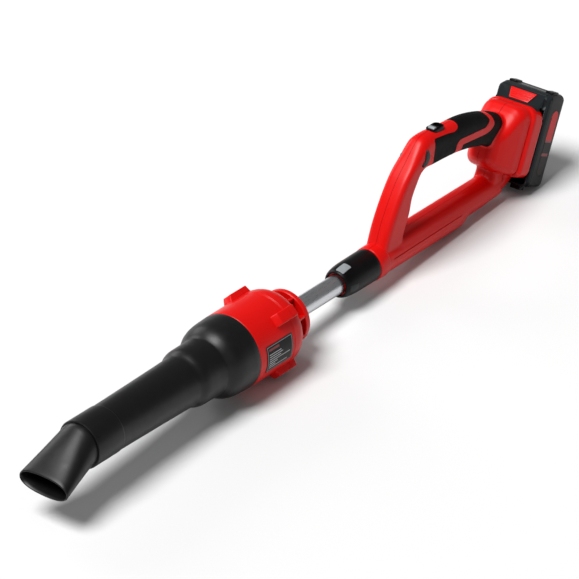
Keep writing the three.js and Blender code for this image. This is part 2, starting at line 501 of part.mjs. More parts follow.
// -------------------------------------------------------------------- battery
{
  const inner = (w0, w1, d) => skinned([plaque(w0, CASE_HALF - d, CASE_U0 + d, CASE_U1 - d, 8 - d), plaque(w1, CASE_HALF - d, CASE_U0 + d, CASE_U1 - d, 8 - d)]);
  const rear = skinned([
    plaque(CASE_SPLIT_W + GAP, CASE_HALF, CASE_U0, CASE_U1, 8), plaque(CASE_EDGE_W, CASE_HALF, CASE_U0, CASE_U1, 8),
    plaque(846, CASE_HALF - 1.4, CASE_U0 + 1.4, CASE_U1 - 1.4, 7), plaque(CASE_W1, CASE_HALF - 4, CASE_U0 + 4, CASE_U1 - 4, 5),
  ]);
  const rearScrews = [[-33, 341], [33, 341], [-33, 449], [33, 449]];
  const post = (w0, w1, r, [y, u]) => rod(w0, w1, r, 0, 10).translate([0, y, u]);
  const rearPosts = rearScrews.map((q) => post(CASE_SPLIT_W + GAP, 845, 4.8, q));
  const rearBody = cut(join(cut(rear, inner(800, 844.6, 2.4)), ...rearPosts), ...rearScrews.map((q) => post(840.5, 850, 4.2, q)), ...rearScrews.map((q) => post(800, 850, 2, q)));
  piece('battery_case_rear', lean(cut(rearBody, box([822, -41, 347], [838.6, -39.3, 437]), box([822, 39.3, 347], [838.6, 41, 437]))), 'black');

  // front half: flange, rail tongue and the sloping top that carries the latch
  const flange = skinned([plaque(801.6, CASE_HALF - 1.6, CASE_U0 + 1.6, 452, 7), plaque(804, CASE_HALF, CASE_U0, 455, 8), plaque(CASE_SPLIT_W, CASE_HALF, CASE_U0, CASE_U1, 8)]);
  const tongue = join(box([790, -33, 347], [796.6 - GAP, 33, 449]), box([796, -29.1, 347], [803, 29.1, 449]), box([797.5, -33, 438], [803, 33, 449]));
  const wedge = slab([[770, 437], [791.5, 437], [804, 454.6], [804, 480], [770, 480]], 60);
  const shoulder = join(flange, tongue, slab([[790, 430], [796.65, 430], [796.65, 438], [812, 438], [812, 455], [790, 455]], 33));
  const hollow = join(inner(800, CASE_SPLIT_W + 1, 2.4), box([793.5, -26, 352], [806, 26, 432]));
  const foot = join(...[-33, 18].map((y) => box([802, y, CASE_U0 - 5], [CASE_SPLIT_W, y + 15, CASE_U0 + 1])));
  const terminalSlot = box([780, -15, 330], [800.2, 15, 371]);
  const front = cut(cut(shoulder, wedge), cut(hollow, slab([[780, 425], [799, 432], [812, 450.5], [812, 470], [780, 470]], 60)), terminalSlot);
  const screwsFront = rearScrews.map((q) => post(800, CASE_SPLIT_W + 1, 4.6, q)).map((p) => p.intersect(box([803, -60, 300], [CASE_SPLIT_W, 60, 500])));
  const screwPilot = rearScrews.map((q) => post(805, CASE_SPLIT_W + 1, 1.6, q));
  rearScrews.forEach((q, i) => {
    piece(`battery_screw_${i + 1}`, lean(mirrorX(screw(0, 32, 0, 0, 3.8, 1.5), 16).translate([812, q[0], q[1]])), 'steel');
  });
  for (let i = 0; i < 5; i++) {
    const cell = cut(turned([[-CELL_L / 2, 0], [-CELL_L / 2, CELL_R - 0.8], [-CELL_L / 2 + 0.8, CELL_R], [CELL_L / 2 - 2.2, CELL_R], [CELL_L / 2 - 1.6, CELL_R - 0.8], [CELL_L / 2 - 1.2, 4], [CELL_L / 2, 3.6], [CELL_L / 2, 0]], 16));
    const turn = i % 2 ? 90 : -90;
    piece(`battery_cell_${i + 1}`, lean(cell.rotate([0, 0, turn]).translate([829, 0, 355.8 + i * CELL_PITCH])), 'sleeve');
  }
  piece('cell_board', lean(join(box([814.4, -28, 352], [816, 28, 436]), box([812.6, -9, 372], [814.8, 5, 392]), box([812.6, 8, 400], [814.8, 20, 420]))), 'board');
  const label = (y0, y1) => box([822.4, y0, 347.4], [838.2, y1, 436.6]);
  piece('battery_label_left', lean(label(-40.15, -39.55)), 'red');
  piece('battery_label_right', lean(label(39.55, 40.15)), 'red');

  // latch button: trapezoid on the slope, ridged across
  const n = [-0.817, 0.577]; // outward normal of the slope in (w, u)
  const t = [0.577, 0.817]; // up the slope
  const on = (s, h) => [791.5 + t[0] * s + n[0] * h, 437 + t[1] * s + n[1] * h];
  const wide = (s) => 13.6 + s * 0.36;
  const prism = (s0, s1, h0, h1, shrink = 0) => {
    const ring = (s) => {
      const half = wide(s) - shrink;
      return [[s, -half, h0], [s, half, h0], [s, half, h1], [s, -half, h1]].map(([a, y, h]) => { const [w, u] = on(a, h); return [w, y, u]; });
    };
    return skinned([ring(s0), ring(s1)]);
  };
  const ridges = [0, 1, 2, 3].map((k) => prism(5.2 + 3.4 * k, 6.8 + 3.4 * k, 0.4, 1.5, 1.6));
  const wellCut = prism(2.6, 19.4, -5.4, 8, -0.5);
  piece('latch_button', lean(join(prism(3, 19, -2.6, 0.9), ...ridges)), 'red');
  piece('battery_case_front', lean(biggest(cut(join(front, ...screwsFront, foot), wellCut, ...screwPilot))), 'charcoal');
}

// ----------------------------------------------------------- assemble, place
// the drawing group is scaled to millimetres, laid on the floor and centred
const tool = new THREE.Group();
tool.name = 'tool';
tool.scale.setScalar(UNIT);
tool.rotation.y = restTilt();
for (const { name, body, finish } of pieces) {
  const skin = body.getMesh();
  const geometry = new THREE.BufferGeometry();
  geometry.setAttribute('position', new THREE.Float32BufferAttribute(skin.vertProperties, 3));
  geometry.setIndex(Array.from(skin.triVerts));
  geometry.computeVertexNormals();
  const mesh = new THREE.Mesh(geometry, new THREE.MeshStandardMaterial(FINISH[finish]));
  mesh.name = name;
  tool.add(mesh);
}
group.add(tool);
const reach = new THREE.Box3().setFromObject(group, true);
tool.position.set(-(reach.min.x + reach.max.x) / 2, 0, -reach.min.z);

export default group;
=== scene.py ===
"""Cordless leaf blower on a telescopic pole: the looks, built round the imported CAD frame.

Sizes are in drawing units along the pole axis (+X from the nozzle to the battery,
+Z up, -Y the side with the rating plate). Assembly.settle lays a finished piece in
the row frame, in metres.
"""

import json
import logging
import math
from contextlib import contextmanager
from dataclasses import dataclass, field
from enum import Enum
from typing import Iterator, Sequence

import bmesh
import bpy
from mathutils import Matrix, Vector

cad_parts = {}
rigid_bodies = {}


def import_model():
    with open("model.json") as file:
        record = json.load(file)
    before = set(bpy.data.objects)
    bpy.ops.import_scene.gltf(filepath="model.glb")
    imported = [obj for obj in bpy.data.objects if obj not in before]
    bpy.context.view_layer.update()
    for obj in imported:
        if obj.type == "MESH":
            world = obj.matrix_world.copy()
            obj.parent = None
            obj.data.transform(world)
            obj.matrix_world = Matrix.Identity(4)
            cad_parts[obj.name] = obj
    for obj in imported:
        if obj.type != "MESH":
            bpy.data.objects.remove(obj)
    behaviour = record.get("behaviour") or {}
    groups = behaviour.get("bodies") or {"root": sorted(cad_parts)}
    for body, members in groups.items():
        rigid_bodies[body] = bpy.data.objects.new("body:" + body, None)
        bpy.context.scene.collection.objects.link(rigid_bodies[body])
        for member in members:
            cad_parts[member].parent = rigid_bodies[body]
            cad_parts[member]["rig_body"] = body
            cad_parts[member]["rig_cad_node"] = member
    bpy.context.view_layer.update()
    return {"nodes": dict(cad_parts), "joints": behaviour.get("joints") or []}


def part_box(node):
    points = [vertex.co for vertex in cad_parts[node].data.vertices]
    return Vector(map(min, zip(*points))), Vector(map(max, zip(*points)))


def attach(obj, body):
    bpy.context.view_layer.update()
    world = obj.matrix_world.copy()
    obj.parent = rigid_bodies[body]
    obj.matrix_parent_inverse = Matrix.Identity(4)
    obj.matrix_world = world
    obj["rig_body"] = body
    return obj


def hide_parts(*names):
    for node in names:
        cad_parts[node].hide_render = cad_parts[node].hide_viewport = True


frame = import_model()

LOG = logging.getLogger("leaf_blower")

Object = bpy.types.Object
Material = bpy.types.Material
Pair = tuple[float, float]
Spot = tuple[float, float, float]

UNIT = 25.0 / 26.0 / 1000.0  # metres in one drawing unit
SHAFT_MIDDLE = 325.5  # where the motor shaft's middle is along the axis
BATTERY_LEAN = math.radians(22.0)
SEAM_GAP = 0.35
LUG_ANGLES = (45.0, 135.0, 225.0, 315.0)
FACETS = 128  # round the large turned parts
FACETS_MID = 96  # round the pole and what fits it
FACETS_SMALL = 24  # round holes and posts
LIP = 0.01  # how far a cutter overlaps the wall that it follows
REACH = 60.0  # half width of a cutter that goes through the whole tool


class Join(Enum):
    """What a Boolean does with its tool."""

    ADD = "UNION"
    REMOVE = "DIFFERENCE"
    KEEP = "INTERSECT"


class Side(Enum):
    """The two sides of the tool: near carries the rating plate."""

    NEAR = -1
    FAR = 1


# ------------------------------------------------------------------ workshop
def tool_matrix() -> Matrix:
    """Finds the turn, scale and place that take drawing units to the row frame.

    Returns:
        The matrix, from the fan joint's axis and the motor shaft's box.
    """
    axis = next(j["axis"] for j in frame["joints"] if j["name"] == "fan_spin")
    tilt = math.atan2(-axis[2], axis[0])
    low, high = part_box("motor_shaft")
    turn = Matrix.Rotation(tilt, 4, "Y")
    origin = (low + high) / 2 - turn @ Vector((SHAFT_MIDDLE * UNIT, 0, 0))
    return Matrix.Translation(origin) @ turn @ Matrix.Scale(UNIT, 4)


TOOL = tool_matrix()
LEAN = Matrix.Rotation(BATTERY_LEAN, 4, "Y")


def only(obj: Object) -> None:
    """Leaves obj alone selected, and active.

    Args:
        obj: The object.
    """
    bpy.ops.object.select_all(action="DESELECT")
    obj.select_set(True)
    bpy.context.view_layer.objects.active = obj


@contextmanager
def editing(obj: Object) -> Iterator[None]:
    """Holds obj in edit mode with everything selected.

    Args:
        obj: The object.

    Returns:
        Nothing: the block runs in edit mode.
    """
    only(obj)
    bpy.ops.object.mode_set(mode="EDIT")
    bpy.ops.mesh.select_mode(type="VERT")
    bpy.ops.mesh.select_all(action="SELECT")
    yield
    bpy.ops.object.mode_set(mode="OBJECT")


@contextmanager
def mesh_of(obj: Object) -> Iterator[bmesh.types.BMesh]:
    """Lends the mesh of an object in edit mode, and writes it back.

    Args:
        obj: The object.

    Returns:
        Its mesh, for the block.
    """
    mesh = bmesh.from_edit_mesh(obj.data)
    yield mesh
    bmesh.update_edit_mesh(obj.data)


def fresh(name: str) -> Object:
    """Names the primitive just added and bakes its place into its mesh.

    Args:
        name: Its name.

    Returns:
        The piece.
    """
    obj = bpy.context.view_layer.objects.active
    obj.name = obj.data.name = name
    only(obj)
    bpy.ops.object.transform_apply(location=True, rotation=True, scale=True)
    return obj


def add_ring(name: str, sides: int, x: float = 0.0, radius: float = 1.0, filled: bool = False) -> Object:
    """Adds a ring of vertices round the axis.

    Args:
        name: The object's name.
        sides: How many vertices.
        x: Place along the axis.
        radius: Its radius.
        filled: Whether it is a face.

    Returns:
        The ring.
    """
    bpy.ops.object.select_all(action="DESELECT")
    bpy.ops.mesh.primitive_circle_add(
        vertices=sides, radius=radius, fill_type="NGON" if filled else "NOTHING", location=(x, 0, 0),
        rotation=(0, math.pi / 2, 0)
    )
    return fresh(name)


def mend(obj: Object) -> Object:
    """Merges doubled points and turns every face outwards.

    Args:
        obj: The piece.

    Returns:
        obj.
    """
    with editing(obj):
        bpy.ops.mesh.remove_doubles(threshold=1e-4)
        bpy.ops.mesh.normals_make_consistent(inside=False)
    return obj


def turned(name: str, profile: Sequence[Pair], sides: int = FACETS_MID, closed: bool = True) -> Object:
    """Draws a ring along a profile of (x, radius) points, as on a lathe.

    Args:
        name: The object's name.
        profile: The section, going once round the wall, or end to end.
        sides: Facets round.
        closed: Whether the profile comes back to its start; otherwise both ends are capped.

    Returns:
        One closed body.
    """
    (x, r), *rest = profile
    obj = add_ring(name, sides, x, r)
    with editing(obj):
        for nx, nr in rest:
            bpy.ops.mesh.extrude_region_move(TRANSFORM_OT_translate={"value": (nx - x, 0, 0)})
            bpy.ops.transform.resize(value=(1, nr / r, nr / r), center_override=(nx, 0, 0))
            x, r = nx, nr
        close_ends(closed)
    return mend(obj)


def close_ends(bridged: bool) -> None:
    """Joins the two open rims of the mesh being edited, or caps each.

    Args:
        bridged: Whether the rims are joined rather than capped.
    """
    bpy.ops.mesh.select_mode(type="EDGE")
    bpy.ops.mesh.select_all(action="DESELECT")
    bpy.ops.mesh.select_non_manifold()
    if bridged:
        bpy.ops.mesh.bridge_edge_loops()
    else:
        bpy.ops.mesh.fill_holes(sides=0)


def lofted(name: str, rings: Sequence[Sequence[Spot]], closed: bool = False) -> Object:
    """Extrudes one ring after another, and sets each to its own section.

    Args:
        name: The object's name.
        rings: Sections with equal numbers of points.
        closed: Whether the last section joins the first.

    Returns:
        One closed body.
    """
    obj = add_ring(name, len(rings[0]))
    with editing(obj):
        with mesh_of(obj) as mesh:
            mesh.verts.ensure_lookup_table()
            order = {v.index: i for i, v in enumerate(mesh.verts)}
            for v in mesh.verts:
                v.co = rings[0][order[v.index]]
        for ring in rings[1:]:
            bpy.ops.mesh.extrude_region_move()
            with mesh_of(obj) as mesh:
                mesh.verts.index_update()
                moved = {}
                for v in (v for v in mesh.verts if v.select):
                    old = next(e.other_vert(v) for e in v.link_edges if not e.other_vert(v).select)
                    moved[v.index] = order[old.index]
                    v.co = ring[order[old.index]]
                order = moved
        close_ends(closed)
    return mend(obj)


def prism(name: str, outline: Sequence[Pair], y0: float, y1: float) -> Object:
    """Extrudes an x-z outline across the tool, from y0 to y1.

    Args:
        name: The object's name.
        outline: Points of (x, z), going round once.
        y0: Where it starts.
        y1: Where it ends.

    Returns:
        One closed body.
    """
    obj = add_ring(name, len(outline), filled=True)
    with editing(obj):
        with mesh_of(obj) as mesh:
            for v, (x, z) in zip(mesh.verts, outline):
                v.co = (x, y0, z)
        bpy.ops.mesh.extrude_region_move(TRANSFORM_OT_translate={"value": (0, y1 - y0, 0)})
    return mend(obj)


def block(name: str, low: Spot, high: Spot) -> Object:
    """Adds a cube stretched between two corners.

    Args:
        name: The object's name.
        low: The lower corner.
        high: The upper corner.

    Returns:
        The block.
    """
    bpy.ops.object.select_all(action="DESELECT")
    middle = [(a + b) / 2 for a, b in zip(low, high)]
    bpy.ops.mesh.primitive_cube_add(size=1, location=middle)
    bpy.context.object.scale = [b - a for a, b in zip(low, high)]
    return fresh(name)


def tablet(name: str, low: Spot, high: Spot, radius: float, axis: int = 2, segments: int = 10) -> Object:
    """Adds a cube between two corners and rounds the four edges along one axis.

    Args:
        name: The object's name.
        low: The lower corner.
        high: The upper corner.
        radius: How round its edges are.
        axis: The axis that they run along: 0, 1 or 2.
        segments: Facets across a round.

    Returns:
        The tablet.
    """
    obj = block(name, low, high)
    with editing(obj):
        bpy.ops.mesh.select_mode(type="EDGE")
        bpy.ops.mesh.select_all(action="DESELECT")
        with mesh_of(obj) as mesh:
            for edge in mesh.edges:
                if abs(edge.verts[0].co[axis] - edge.verts[1].co[axis]) > 1e-4:
                    edge.select_set(True)
        bpy.ops.mesh.bevel(offset=radius, segments=segments, affect="EDGES")
    return obj


def apply(obj: Object, kind: str, **settings: object) -> Object:
    """Adds a modifier with its settings and applies it.

    Args:
        obj: The piece.
        kind: The modifier's type.
        settings: Its properties.

    Returns:
        obj.
    """
    made = obj.modifiers.new(kind.title(), kind)
    for key, value in settings.items():
        setattr(made, key, value)
    only(obj)
    bpy.ops.object.modifier_apply(modifier=made.name)
    return obj


def copied(obj: Object, name: str) -> Object:
    """Copies obj with a mesh of its own.

    Args:
        obj: What is copied.
        name: The copy's name.

    Returns:
        The copy.
    """
    twin = obj.copy()
    twin.data = obj.data.copy()
    twin.name = twin.data.name = name
    bpy.context.scene.collection.objects.link(twin)
    return twin


def combine(obj: Object, how: Join, tools: Sequence[Object]) -> Object:
    """Joins, cuts or trims obj with each tool in turn, and removes the tools.

    Args:
        obj: The piece that changes.
        how: What is done.
        tools: The other solids.

    Returns:
        obj.
    """
    for tool in tools:
        apply(obj, "BOOLEAN", operation=how.value, object=tool, solver="MANIFOLD")
        bpy.data.objects.remove(tool)
    return obj


def fuse(obj: Object, *tools: Object) -> Object:
    """Joins the tools to obj."""
    return combine(obj, Join.ADD, tools)


def cut(obj: Object, *tools: Object) -> Object:
    """Cuts the tools out of obj."""
    return combine(obj, Join.REMOVE, tools)


def trim(obj: Object, *tools: Object) -> Object:
    """Leaves what obj shares with the tools."""
    return combine(obj, Join.KEEP, tools)


def moved(obj: Object, matrix: Matrix) -> Object:
    """Moves, turns or mirrors obj's mesh."""
    obj.data.transform(matrix)
    return obj


def spun(obj: Object, degrees: float) -> Object:
    """Turns obj round the tool's axis, from the top towards the near side."""
    return moved(obj, Matrix.Rotation(math.radians(degrees), 4, "X"))


def leaned(obj: Object) -> Object:
    """Tips obj back with the battery."""
    return moved(obj, LEAN)


def rod(name: str, x0: float, x1: float, radius: float, sides: int = FACETS_SMALL) -> Object:
    """Round bar along the axis, from x0 to x1."""
    return turned(name, [(x0, radius), (x1, radius)], sides, closed=False)


def rounded(obj: Object, width: float, segments: int = 3, limit: float = 32.0) -> Object:
    """Rounds every edge sharper than limit degrees.

    Args:
        obj: The piece.
        width: Width of the round.
        segments: Facets across it.
        limit: Edges that turn by more than this many degrees are rounded.

    Returns:
        obj.
    """
    return apply(
        obj, "BEVEL", width=width, segments=segments, limit_method="ANGLE",
        angle_limit=math.radians(limit), use_clamp_overlap=True, harden_normals=False
    )


def smooth_shaded(obj: Object, limit: float = 35.0) -> Object:
    """Shades smooth, with creases where faces meet at more than limit degrees.

    Args:
        obj: The piece.
        limit: The angle, in degrees.

    Returns:
        obj.
    """
    only(obj)
    bpy.ops.object.shade_smooth_by_angle(angle=math.radians(limit))
    return obj


def spline(points: Sequence[Pair], count: int, closed: bool = False) -> list[Pair]:
    """Even points along a centripetal curve through the given ones.

    Args:
        points: What the curve goes through.
        count: How many steps it is cut into.
        closed: Whether it runs back to its start.

    Returns:
        count points, plus the last one if it is open.
    """
    pts = [Vector(p) for p in points]
    ends = [pts[-1], *pts, pts[0], pts[1]] if closed else [
        2 * pts[0] - pts[1], *pts, 2 * pts[-1] - pts[-2]
    ]
    fine: list[Vector] = []
    for a, b, c, d in zip(ends, ends[1:], ends[2:], ends[3:]):
        knots = [0.0]
        for p, q in ((a, b), (b, c), (c, d)):
            knots.append(knots[-1] + max((q - p).length, 1e-6) ** 0.5)
        t0, t1, t2, t3 = knots
        for k in range(24):
            t = t1 + (t2 - t1) * k / 24
            a1 = a.lerp(b, (t - t0) / (t1 - t0))
            a2 = b.lerp(c, (t - t1) / (t2 - t1))
            a3 = c.lerp(d, (t - t2) / (t3 - t2))
            b1 = a1.lerp(a2, (t - t0) / (t2 - t0))
            b2 = a2.lerp(a3, (t - t1) / (t3 - t1))
            fine.append(b1.lerp(b2, (t - t1) / (t2 - t1)))
    fine.append(pts[0] if closed else pts[-1])
    lengths = [0.0]
    for p, q in zip(fine, fine[1:]):
        lengths.append(lengths[-1] + (q - p).length)
    out, i = [], 0
    for k in range(count if closed else count + 1):
        want = lengths[-1] * k / count
        while i < len(fine) - 2 and lengths[i + 1] < want:
            i += 1
        share = (want - lengths[i]) / max(lengths[i + 1] - lengths[i], 1e-9)
        spot = fine[i].lerp(fine[i + 1], share)
        out.append((spot.x, spot.y))
    return out


def grown(outline: Sequence[Pair], by: float) -> list[Pair]:
    """Pushes an outline outwards by a distance, with mitred corners.

    Args:
        outline: Its points, going round once.
        by: How far.

    Returns:
        The new outline, anticlockwise.
    """
    area = sum(a[0] * b[1] - b[0] * a[1] for a, b in zip(outline, [*outline[1:], outline[0]]))
    run = [Vector(p) for p in (outline if area > 0 else list(reversed(outline)))]
    out = []
    for i, q in enumerate(run):
        before, after = q - run[i - 1], run[(i + 1) % len(run)] - q
        n0 = Vector((before.y, -before.x)).normalized()
        n1 = Vector((after.y, -after.x)).normalized()
        middle = (n0 + n1).normalized()
        spot = q + middle * (by / max(0.4, middle.dot(n1)))
        out.append((spot.x, spot.y))
    return out


def softened(outline: Sequence[Pair], reach: float, steps: int = 5) -> list[Pair]:
    """Rounds each corner of an outline with a curve that starts reach before it.

    Args:
        outline: Its points, going round once.
        reach: How far before the corner the curve starts.
        steps: How many steps a curve has.

    Returns:
        The new outline.
    """
    out = []
    for i, point in enumerate(outline):
        q, a, b = Vector(point), Vector(outline[i - 1]), Vector(outline[(i + 1) % len(outline)])
        start = q + (a - q).normalized() * min(reach, (a - q).length * 0.45)
        end = q + (b - q).normalized() * min(reach, (b - q).length * 0.45)
        for k in range(steps + 1):
            spot = start.lerp(q, k / steps).lerp(q.lerp(end, k / steps), k / steps)
            out.append((spot.x, spot.y))
    return out


def superoval(
    x: float, centre_z: float, half_y: float, half_z: float, power: float, sides: int
) -> list[Spot]:
    """Oval section at x, rounder at power 2 and squarer above it.

    Args:
        x: Place along the axis.
        centre_z: Height of its middle.
        half_y: Half its width.
        half_z: Half its height.
        power: 2 for an ellipse, more for a squarer one.
        sides: How many points.

    Returns:
        Its points.
    """
    out = []
    for k in range(sides):
        c, s = math.cos(math.tau * k / sides), math.sin(math.tau * k / sides)
        y = math.copysign(abs(c) ** (2 / power), c) * half_y
        z = math.copysign(abs(s) ** (2 / power), s) * half_z
        out.append((x, y, centre_z + z))
    return out


def plaque(
    w: float, half: float, low: float, high: float, radius: float, steps: int = 8,
    foot: float | None = None
) -> list[Spot]:
    """Rounded-rectangle section across the battery's frame.

    Args:
        w: Where it is along the frame.
        half: Half its width.
        low: Its lower edge.
        high: Its upper edge.
        radius: Radius of its corners.
        steps: Steps round a corner.
        foot: Radius of the lower corners, if it is another.

    Returns:
        Its points.
    """
    foot = radius if foot is None else foot
    corners = (
        (half - radius, high - radius, 0, radius), (radius - half, high - radius, 90, radius),
        (foot - half, low + foot, 180, foot), (half - foot, low + foot, 270, foot)
    )
    out = []
    for cy, cz, a, r in corners:
        for k in range(steps + 1):
            turn = math.radians(a + 90 * k / steps)
            out.append((w, cy + r * math.cos(turn), cz + r * math.sin(turn)))
    return out


# ------------------------------------------------------------------ finishes
def linear(code: str) -> tuple[float, float, float, float]:
    """Turns an sRGB hex colour to linear light.

    Args:
        code: Six hex digits.

    Returns:
        Red, green, blue and alpha.
    """
    out = []
    for i in (0, 2, 4):
        v = int(code[i : i + 2], 16) / 255
        out.append(v / 12.92 if v <= 0.04045 else ((v + 0.055) / 1.055) ** 2.4)
    return (*out, 1.0)


def node(
    tree: bpy.types.NodeTree, kind: str, settings: dict | None = None, **inputs: object
) -> bpy.types.Node:
    """Adds a node to a tree.

    Args:
        tree: The tree it goes in.
        kind: Its type name, without the ShaderNode prefix.
        settings: Properties of the node itself.
        inputs: Socket values, or sockets of other nodes to link; _ stands for a space.

    Returns:
        The node.
    """
    made = tree.nodes.new("ShaderNode" + kind)
    for key, value in (settings or {}).items():
        setattr(made, key, value)
    for key, value in inputs.items():
        numbered = key[0] == "i" and key[1:].isdigit()
        socket = made.inputs[int(key[1:]) if numbered else key.replace("_", " ")]
        if isinstance(value, bpy.types.NodeSocket):
            tree.links.new(value, socket)
        else:
            socket.default_value = value
    return made


@dataclass(frozen=True)
class Finish:
    """A surface: its colour drifts a little, its gloss is uneven and it has a fine relief."""

    name: str
    colour: str
    second: str
    roughness: float
    spread: float = 0.06  # how far roughness wanders either way
    grain_mm: float = 0.8  # size of the relief's bumps
    relief: float = 0.08  # strength of the relief
    patch_mm: float = 30.0  # size of the patches where colour drifts
    metallic: float = 0.0
    coat: float = 0.0
    shine: float = 0.5  # share of the usual mirror reflection
    stretch: Spot = (1.0, 1.0, 1.0)

    def material(self) -> Material:
        """Makes the material, once.

        Returns:
            The material.
        """
        if self.name in bpy.data.materials:
            return bpy.data.materials[self.name]
        made = bpy.data.materials.new(self.name)
        made.use_nodes = True
        tree = made.node_tree
        tree.nodes.clear()
        place = node(tree, "TexCoord").outputs["Object"]
        along = node(
            tree,
            "Mapping",
            Vector=place,
            Rotation=(0, math.atan2(TOOL[0][2], TOOL[0][0]), 0),
            Scale=self.stretch
        ).outputs[0]
        shader = node(
            tree, "BsdfPrincipled", Base_Color=self.paint(tree, along), Roughness=self.gloss(tree, along),
            Metallic=self.metallic, Specular_IOR_Level=self.shine, Coat_Weight=self.coat,
            Coat_Roughness=0.12, Normal=self.surface(tree, along)
        )
        node(tree, "OutputMaterial", Surface=shader.outputs[0])
        return made

    def noise(
        self, tree: bpy.types.NodeTree, along: bpy.types.NodeSocket, size_mm: float, detail: float = 2.0
    ) -> bpy.types.NodeSocket:
        """Adds noise whose lumps are size_mm across."""
        made = node(tree, "TexNoise", Vector=along, Scale=1000.0 / size_mm, Detail=detail, Roughness=0.55)
        return made.outputs["Fac"]

    def paint(self, tree: bpy.types.NodeTree, along: bpy.types.NodeSocket) -> bpy.types.NodeSocket:
        """Mixes the two colours in soft patches."""
        patches = self.noise(tree, along, self.patch_mm)
        mixed = node(
            tree, "Mix", {"data_type": "RGBA"}, i0=patches, i6=linear(self.colour), i7=linear(self.second)
        )
        return mixed.outputs[2]

    def gloss(self, tree: bpy.types.NodeTree, along: bpy.types.NodeSocket) -> bpy.types.NodeSocket:
        """Lets roughness wander round its value.

        Args:
            tree: The material's tree.
            along: The coordinates.

        Returns:
            The roughness socket.
        """
        wander = self.noise(tree, along, self.patch_mm * 0.4, 4.0)
        low, high = self.roughness - self.spread, self.roughness + self.spread
        return node(tree, "MapRange", Value=wander, i1=0.25, i2=0.75, i3=low, i4=high).outputs[0]

    def surface(self, tree: bpy.types.NodeTree, along: bpy.types.NodeSocket) -> bpy.types.NodeSocket:
        """Raises the relief as a bump."""
        grain = self.noise(tree, along, self.grain_mm, 3.0)
        return node(tree, "Bump", Height=grain, Strength=self.relief, Distance=0.0003).outputs[0]


@dataclass(frozen=True)
class Rubber(Finish):
    """Thermoplastic rubber: matt, with the leathery cells of an etched mould."""

    def surface(self, tree: bpy.types.NodeTree, along: bpy.types.NodeSocket) -> bpy.types.NodeSocket:
        """Raises small round cells."""
        cells = node(
            tree, "TexVoronoi", {"feature": "SMOOTH_F1"}, Vector=along, Scale=1000.0 / self.grain_mm
        )
        return node(
            tree, "Bump", Height=cells.outputs[0], Strength=self.relief, Distance=0.0004
        ).outputs[0]


@dataclass(frozen=True)
class Board(Finish):
    """Circuit board: green solder mask over square copper tracks."""

    def paint(self, tree: bpy.types.NodeTree, along: bpy.types.NodeSocket) -> bpy.types.NodeSocket:
        """Shows tracks as lighter green.

        Args:
            tree: The material's tree.
            along: The coordinates.

        Returns:
            The colour socket.
        """
        cells = node(
            tree, "TexVoronoi", {"distance": "CHEBYCHEV", "feature": "F1"}, Vector=along,
            Scale=1000.0 / self.patch_mm
        )
        edge = node(tree, "Math", {"operation": "GREATER_THAN"}, i0=cells.outputs[0], i1=0.42).outputs[0]
        return node(
            tree, "Mix", {"data_type": "RGBA"}, i0=edge, i6=linear(self.colour), i7=linear(self.second)
        ).outputs[2]


# Injection-moulded glossy red ABS: saturated colour, tight but soft highlights
RED_ABS = Finish("red_abs_moulded", "D20704", "C60603", 0.36, 0.04, 0.9, 0.05, 45.0, shine=0.22)
# Glass-filled nylon, satin black: broad grey highlights from a fine etched grain
BLACK_NYLON = Finish("black_nylon_satin", "070708", "0A0A0B", 0.4, 0.05, 1.0, 0.14, 25.0, shine=0.32)
# Black ABS of the collar, smoother than the nylon
BLACK_ABS = Finish("black_abs_moulded", "050506", "080809", 0.36, 0.05, 0.9, 0.06, 25.0, shine=0.14)
# Charcoal ABS of the battery's rail side: a cooler, greyer black
CHARCOAL_ABS = Finish("charcoal_abs_moulded", "15191B", "1B2022", 0.42, 0.05, 0.9, 0.12, 20.0, shine=0.22)
# Overmoulded grip rubber, matt with etched cells of about 1.2 mm
GRIP_RUBBER = Rubber("grip_rubber_etched", "030303", "060606", 0.66, 0.06, 1.2, 0.3, 18.0, shine=0.12)
# Light grey ABS of small pads
GREY_ABS = Finish("grey_abs_moulded", "8E9396", "7C8184", 0.4, 0.05, 0.8, 0.1, 6.0)
# Drawn aluminium tube: lines along its length, satin anodised
DRAWN_ALU = Finish(
    "drawn_aluminium_anodised", "D4D6D9", "BFC2C6", 0.3, 0.07, 0.7, 0.12, 4.0, metallic=1.0,
    stretch=(0.03, 1.0, 1.0)
)
# Zinc-plated steel of the screws: slightly blotchy
ZINC_STEEL = Finish("zinc_plated_steel", "A4A7AA", "8C8F93", 0.36, 0.08, 0.5, 0.12, 2.0, metallic=1.0)
# Painted steel of the motor can
MOTOR_STEEL = Finish("motor_can_steel", "77797C", "646669", 0.42, 0.08, 0.6, 0.1, 8.0, metallic=1.0)
# PVC of the motor lead
LEAD_PVC = Finish("lead_pvc_black", "101010", "161616", 0.5, 0.06, 0.6, 0.1, 10.0)
# Green solder mask on glass-fibre board
BOARD_GREEN = Board("board_solder_mask", "14472A", "1F6A3D", 0.4, 0.05, 0.5, 0.05, 3.0)
# Shrink wrap on the cells: thin glossy PVC
CELL_WRAP = Finish("cell_shrink_wrap", "2B66A4", "265B94", 0.28, 0.05, 1.5, 0.08, 12.0)
